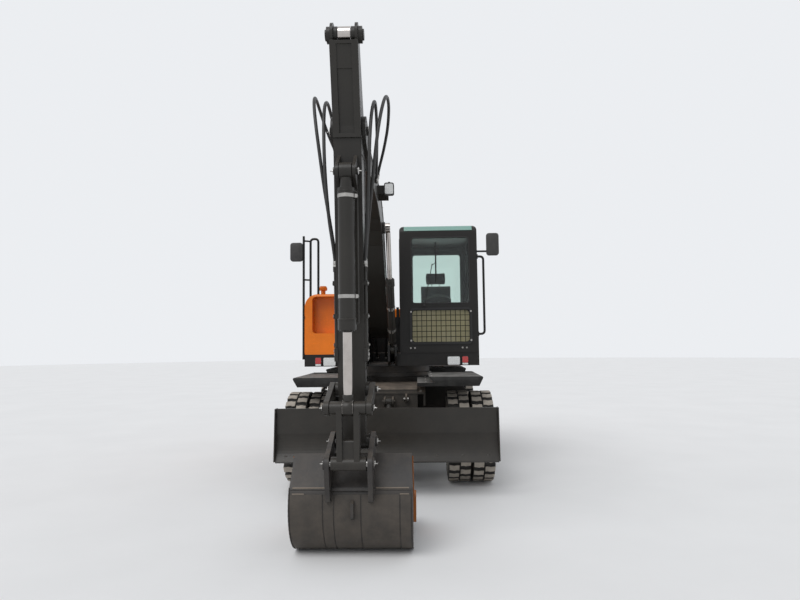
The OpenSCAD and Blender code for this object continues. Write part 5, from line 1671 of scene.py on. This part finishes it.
# Pins: end plate, keeper bolts and grease nipple; rows are body, (y, z), half length, diameter
PINS = (
    ("upper", FOOT, 0.175, 0.070), ("boom", PIVOT, 0.148, 0.070), ("boom", ARM_CYL[0], 0.090, 0.060),
    ("arm", LINK_PIN, 0.190, 0.050), ("arm", BUCKET_CYL[0], 0.090, 0.055),
    ("bucket", TIP, 0.184, 0.050), ("bucket", BUCKET_PIN, 0.184, 0.050), ("h_link", ROD_PIN, 0.184, 0.050),
)


def make_pins():
    for number, (body, yz, half, diameter) in enumerate(PINS):
        ends = Shape()
        radius = diameter / 2
        plate = [(radius * 0.98, 0), (radius * 0.98, 0.003), (radius * 0.7, 0.005)]
        for side in (-1, 1):
            at = gear(side * (half - 0.001), yz)
            ends.lathe(at, (side, 0, 0), plate, 28)
            ends.nipple(at + Vector((side * 0.004, 0, 0)), (side, 0, 0))
            ends.bolt(at + Vector((side * 0.003, 0, radius * 0.55)), (side, 0, 0), 0.007)
        piece(f"pin_ends_{number}", ends, "bright", body)


def make_bucket():
    half = 450
    lip, edge = (-3690, 740), (-2990, 135)
    centre, radius = (-3540, 374), 370

    def shell(angle, out=0):
        a = radians(angle)
        return (centre[0] + (radius + out) * cos(a), centre[1] + (radius + out) * sin(a))

    line = [lip] + arc(centre, radius, 155.4, 268, 20) + [edge]
    body = Block().side(band(line, 22), GEAR_MM - half, GEAR_MM + half)
    for x0, x1 in both_sides(half - 22, half):
        body.plus(Block().side(line, x0, x1))
    form("bucket_shell", body, "bucket_paint", "bucket", "bucket")
    cheeks = Block()
    (ly, lz), (ey, ez) = lip, edge
    for x0, x1 in both_sides(half - 1, half + 9):
        cheeks.side([(ly - 10, lz - 20), (ly + 40, lz - 30), (ey, ez + 30), (ey - 70, ez - 6)], x0, x1)
    for x0, x1 in both_sides(half - 1, half + 24):
        cheeks.side([(-3070, 130), (-3050, 260), (-3130, 330), (-3225, 300), (-3240, 95)], x0, x1)
    piece("bucket_side_cutters", cheeks, "worn_orange", "bucket")
    ear_in, ear_t = 137, 35
    heel = (-3935, 477)
    web = [mm(TIP), mm(BUCKET_PIN), heel] + [shell(angle, -8) for angle in (169.5, 163, 156)]
    web.append((ly + 7, lz - 6))
    outlines = (link(mm(TIP), mm(BUCKET_PIN), 150, 120), link(mm(BUCKET_PIN), heel, 116, 92), web)
    spans = both_sides(ear_in, ear_in + ear_t)
    ears = joined([joined([Block().side(line, *span) for line in outlines]) for span in spans])
    form("bucket_ears", ears, "bucket_paint", "bucket", "bucket")
    bosses = Block()
    for yz in (TIP, BUCKET_PIN):
        for x0, x1 in both_sides(ear_in + ear_t - 2, ear_in + ear_t + 12):
            bosses.bar(x0, x1, mm(yz), 86)
    lug = [shell(160, -4), shell(160, 22), shell(157, 22), shell(157, -4)]
    bosses.side(lug, GEAR_MM - ear_in - 1, GEAR_MM + ear_in + 1)
    piece("bucket_bosses", bosses, "bucket_paint", "bucket")
    pins = Block()
    for yz in (TIP, BUCKET_PIN):
        pins.bar(GEAR_MM - 184, GEAR_MM + 184, mm(yz), 50)
    form("bucket_pins", pins, "bright", "bucket", "bucket")
    strips = Block()
    outline = arc(centre, radius + 5, 163.5, 250, 16) + arc(centre, radius - 6, 250, 163.5, 16)
    for x0, x1 in ((-440, -204), (-195, -124), (-115, 74), (83, 357), (366, 440)):
        strips.side(outline, GEAR_MM + x0, GEAR_MM + x1)
    piece("bucket_wear_strips", strips, "bucket_wear", "bucket")
    beads = Block()
    rim, ear = half - 22, ear_in + ear_t + 14
    rows = ((155.6, -rim, -ear), (155.6, ear, rim), (162.3, -rim, 110 - half), (162.3, half - 90, rim))
    for angle, x0, x1 in rows:
        outline = [shell(angle, -4), shell(angle, 3), shell(angle + 1.5, 3), shell(angle + 1.5, -4)]
        beads.side(outline, GEAR_MM + x0, GEAR_MM + x1)
    piece("bucket_beads", beads, "rubbed_edge", "bucket")
    outline = [shell(168, -4), shell(173, 42), shell(187, 42), shell(192, -4)]
    hook = Block().side(outline, GEAR_MM + 6, GEAR_MM + 28)
    hook.less(Block().side(disc(shell(180, 20), 30), GEAR_MM, GEAR_MM + 35))
    piece("bucket_hook", hook, "bucket_paint", "bucket")
    teeth, tips = Block(), Block()
    holder = [(ey - 90, ez + 24), (ey - 30, ez + 38), (ey + 60, ez + 44), (ey + 60, ez - 10)]
    holder.append((ey - 60, ez - 34))
    tooth = [(ey + 50, ez + 39), (ey + 59, ez + 36), (-2850, 156), (-2850, 144), (ey + 59, ez - 4)]
    tooth.append((ey + 50, ez - 7))
    for i in range(5):
        x = GEAR_MM - half + (2 * half - 70) / 4 * i
        teeth.side(holder, x, x + 70)
        tips.side(tooth, x + 8, x + 62)
    form("bucket_tooth_holders", teeth, "bucket_paint", "bucket", "bucket")
    form("bucket_teeth", tips, "bucket_wear", "bucket", "bucket")
    seams = Shape()
    for side in (-1, 1):
        seams.weld([mm_at(GEAR_MM + side * half, *shell(156 + 5.6 * k, 1)) for k in range(20)], 0.006)
        for inner in (ear_in - 1, ear_in + ear_t + 1):
            seams.weld([mm_at(GEAR_MM + side * inner, *shell(158 + k * 2.3, 1.5)) for k in range(7)], 0.006)
    seams.weld([mm_at(GEAR_MM + x, *shell(158.5, 1)) for x in (-half + 10, half - 10)], 0.005)
    piece("bucket_welds", seams, "bucket_paint", "bucket")


make_undercarriage()
make_blade_trim()
make_boom()
make_arm()
make_bucket()
make_pins()


# Floor and light: a plain pale studio
PALE = (0.80, 0.80, 0.80)
SKY = 0.70
SKY_SEEN = 0.90
SUN_STRENGTH = 1.3
SUN_AIM = (0.45, 0.75, -1.0)


def make_studio():
    scene = bpy.context.scene
    scene.view_settings.view_transform = "Standard"
    bm = bmesh.new()
    bmesh.ops.create_circle(bm, cap_ends=True, segments=96, radius=60)
    data = bpy.data.meshes.new("floor")
    bm.to_mesh(data)
    bm.free()
    floor = bpy.data.objects.new("floor", data)
    scene.collection.objects.link(floor)
    mat, tree, coords = new_material("floor")
    cloud = noise(tree, coords["Object"], 0.8, 5)
    tone = mix(tree, remap(tree, cloud, 0.3, 0.7), shade(PALE, 0.96), shade(PALE, 1.0))
    data.materials.append(settle(mat, {"Base Color": tone, "Roughness": 0.85}))

    world = bpy.data.worlds.new("world")
    scene.world = world
    world.use_nodes = True
    tree = world.node_tree
    background = tree.nodes["Background"]
    path = add(tree, "ShaderNodeLightPath", {})
    seen = calc(tree, "MAXIMUM", path.outputs["Is Camera Ray"], path.outputs["Is Glossy Ray"])
    seen = calc(tree, "MAXIMUM", seen, path.outputs["Is Transmission Ray"])
    fill(tree, background.inputs["Strength"], remap(tree, seen, 0, 1, SKY, SKY_SEEN))
    fill(tree, background.inputs["Color"], (0.93, 0.95, 0.98))

    sun = bpy.data.lights.new("soft_sun", "SUN")
    sun.energy = SUN_STRENGTH
    sun.angle = radians(40)
    holder = bpy.data.objects.new("soft_sun", sun)
    holder.rotation_euler = Vector(SUN_AIM).to_track_quat("-Z", "Y").to_euler()
    scene.collection.objects.link(holder)


make_studio()
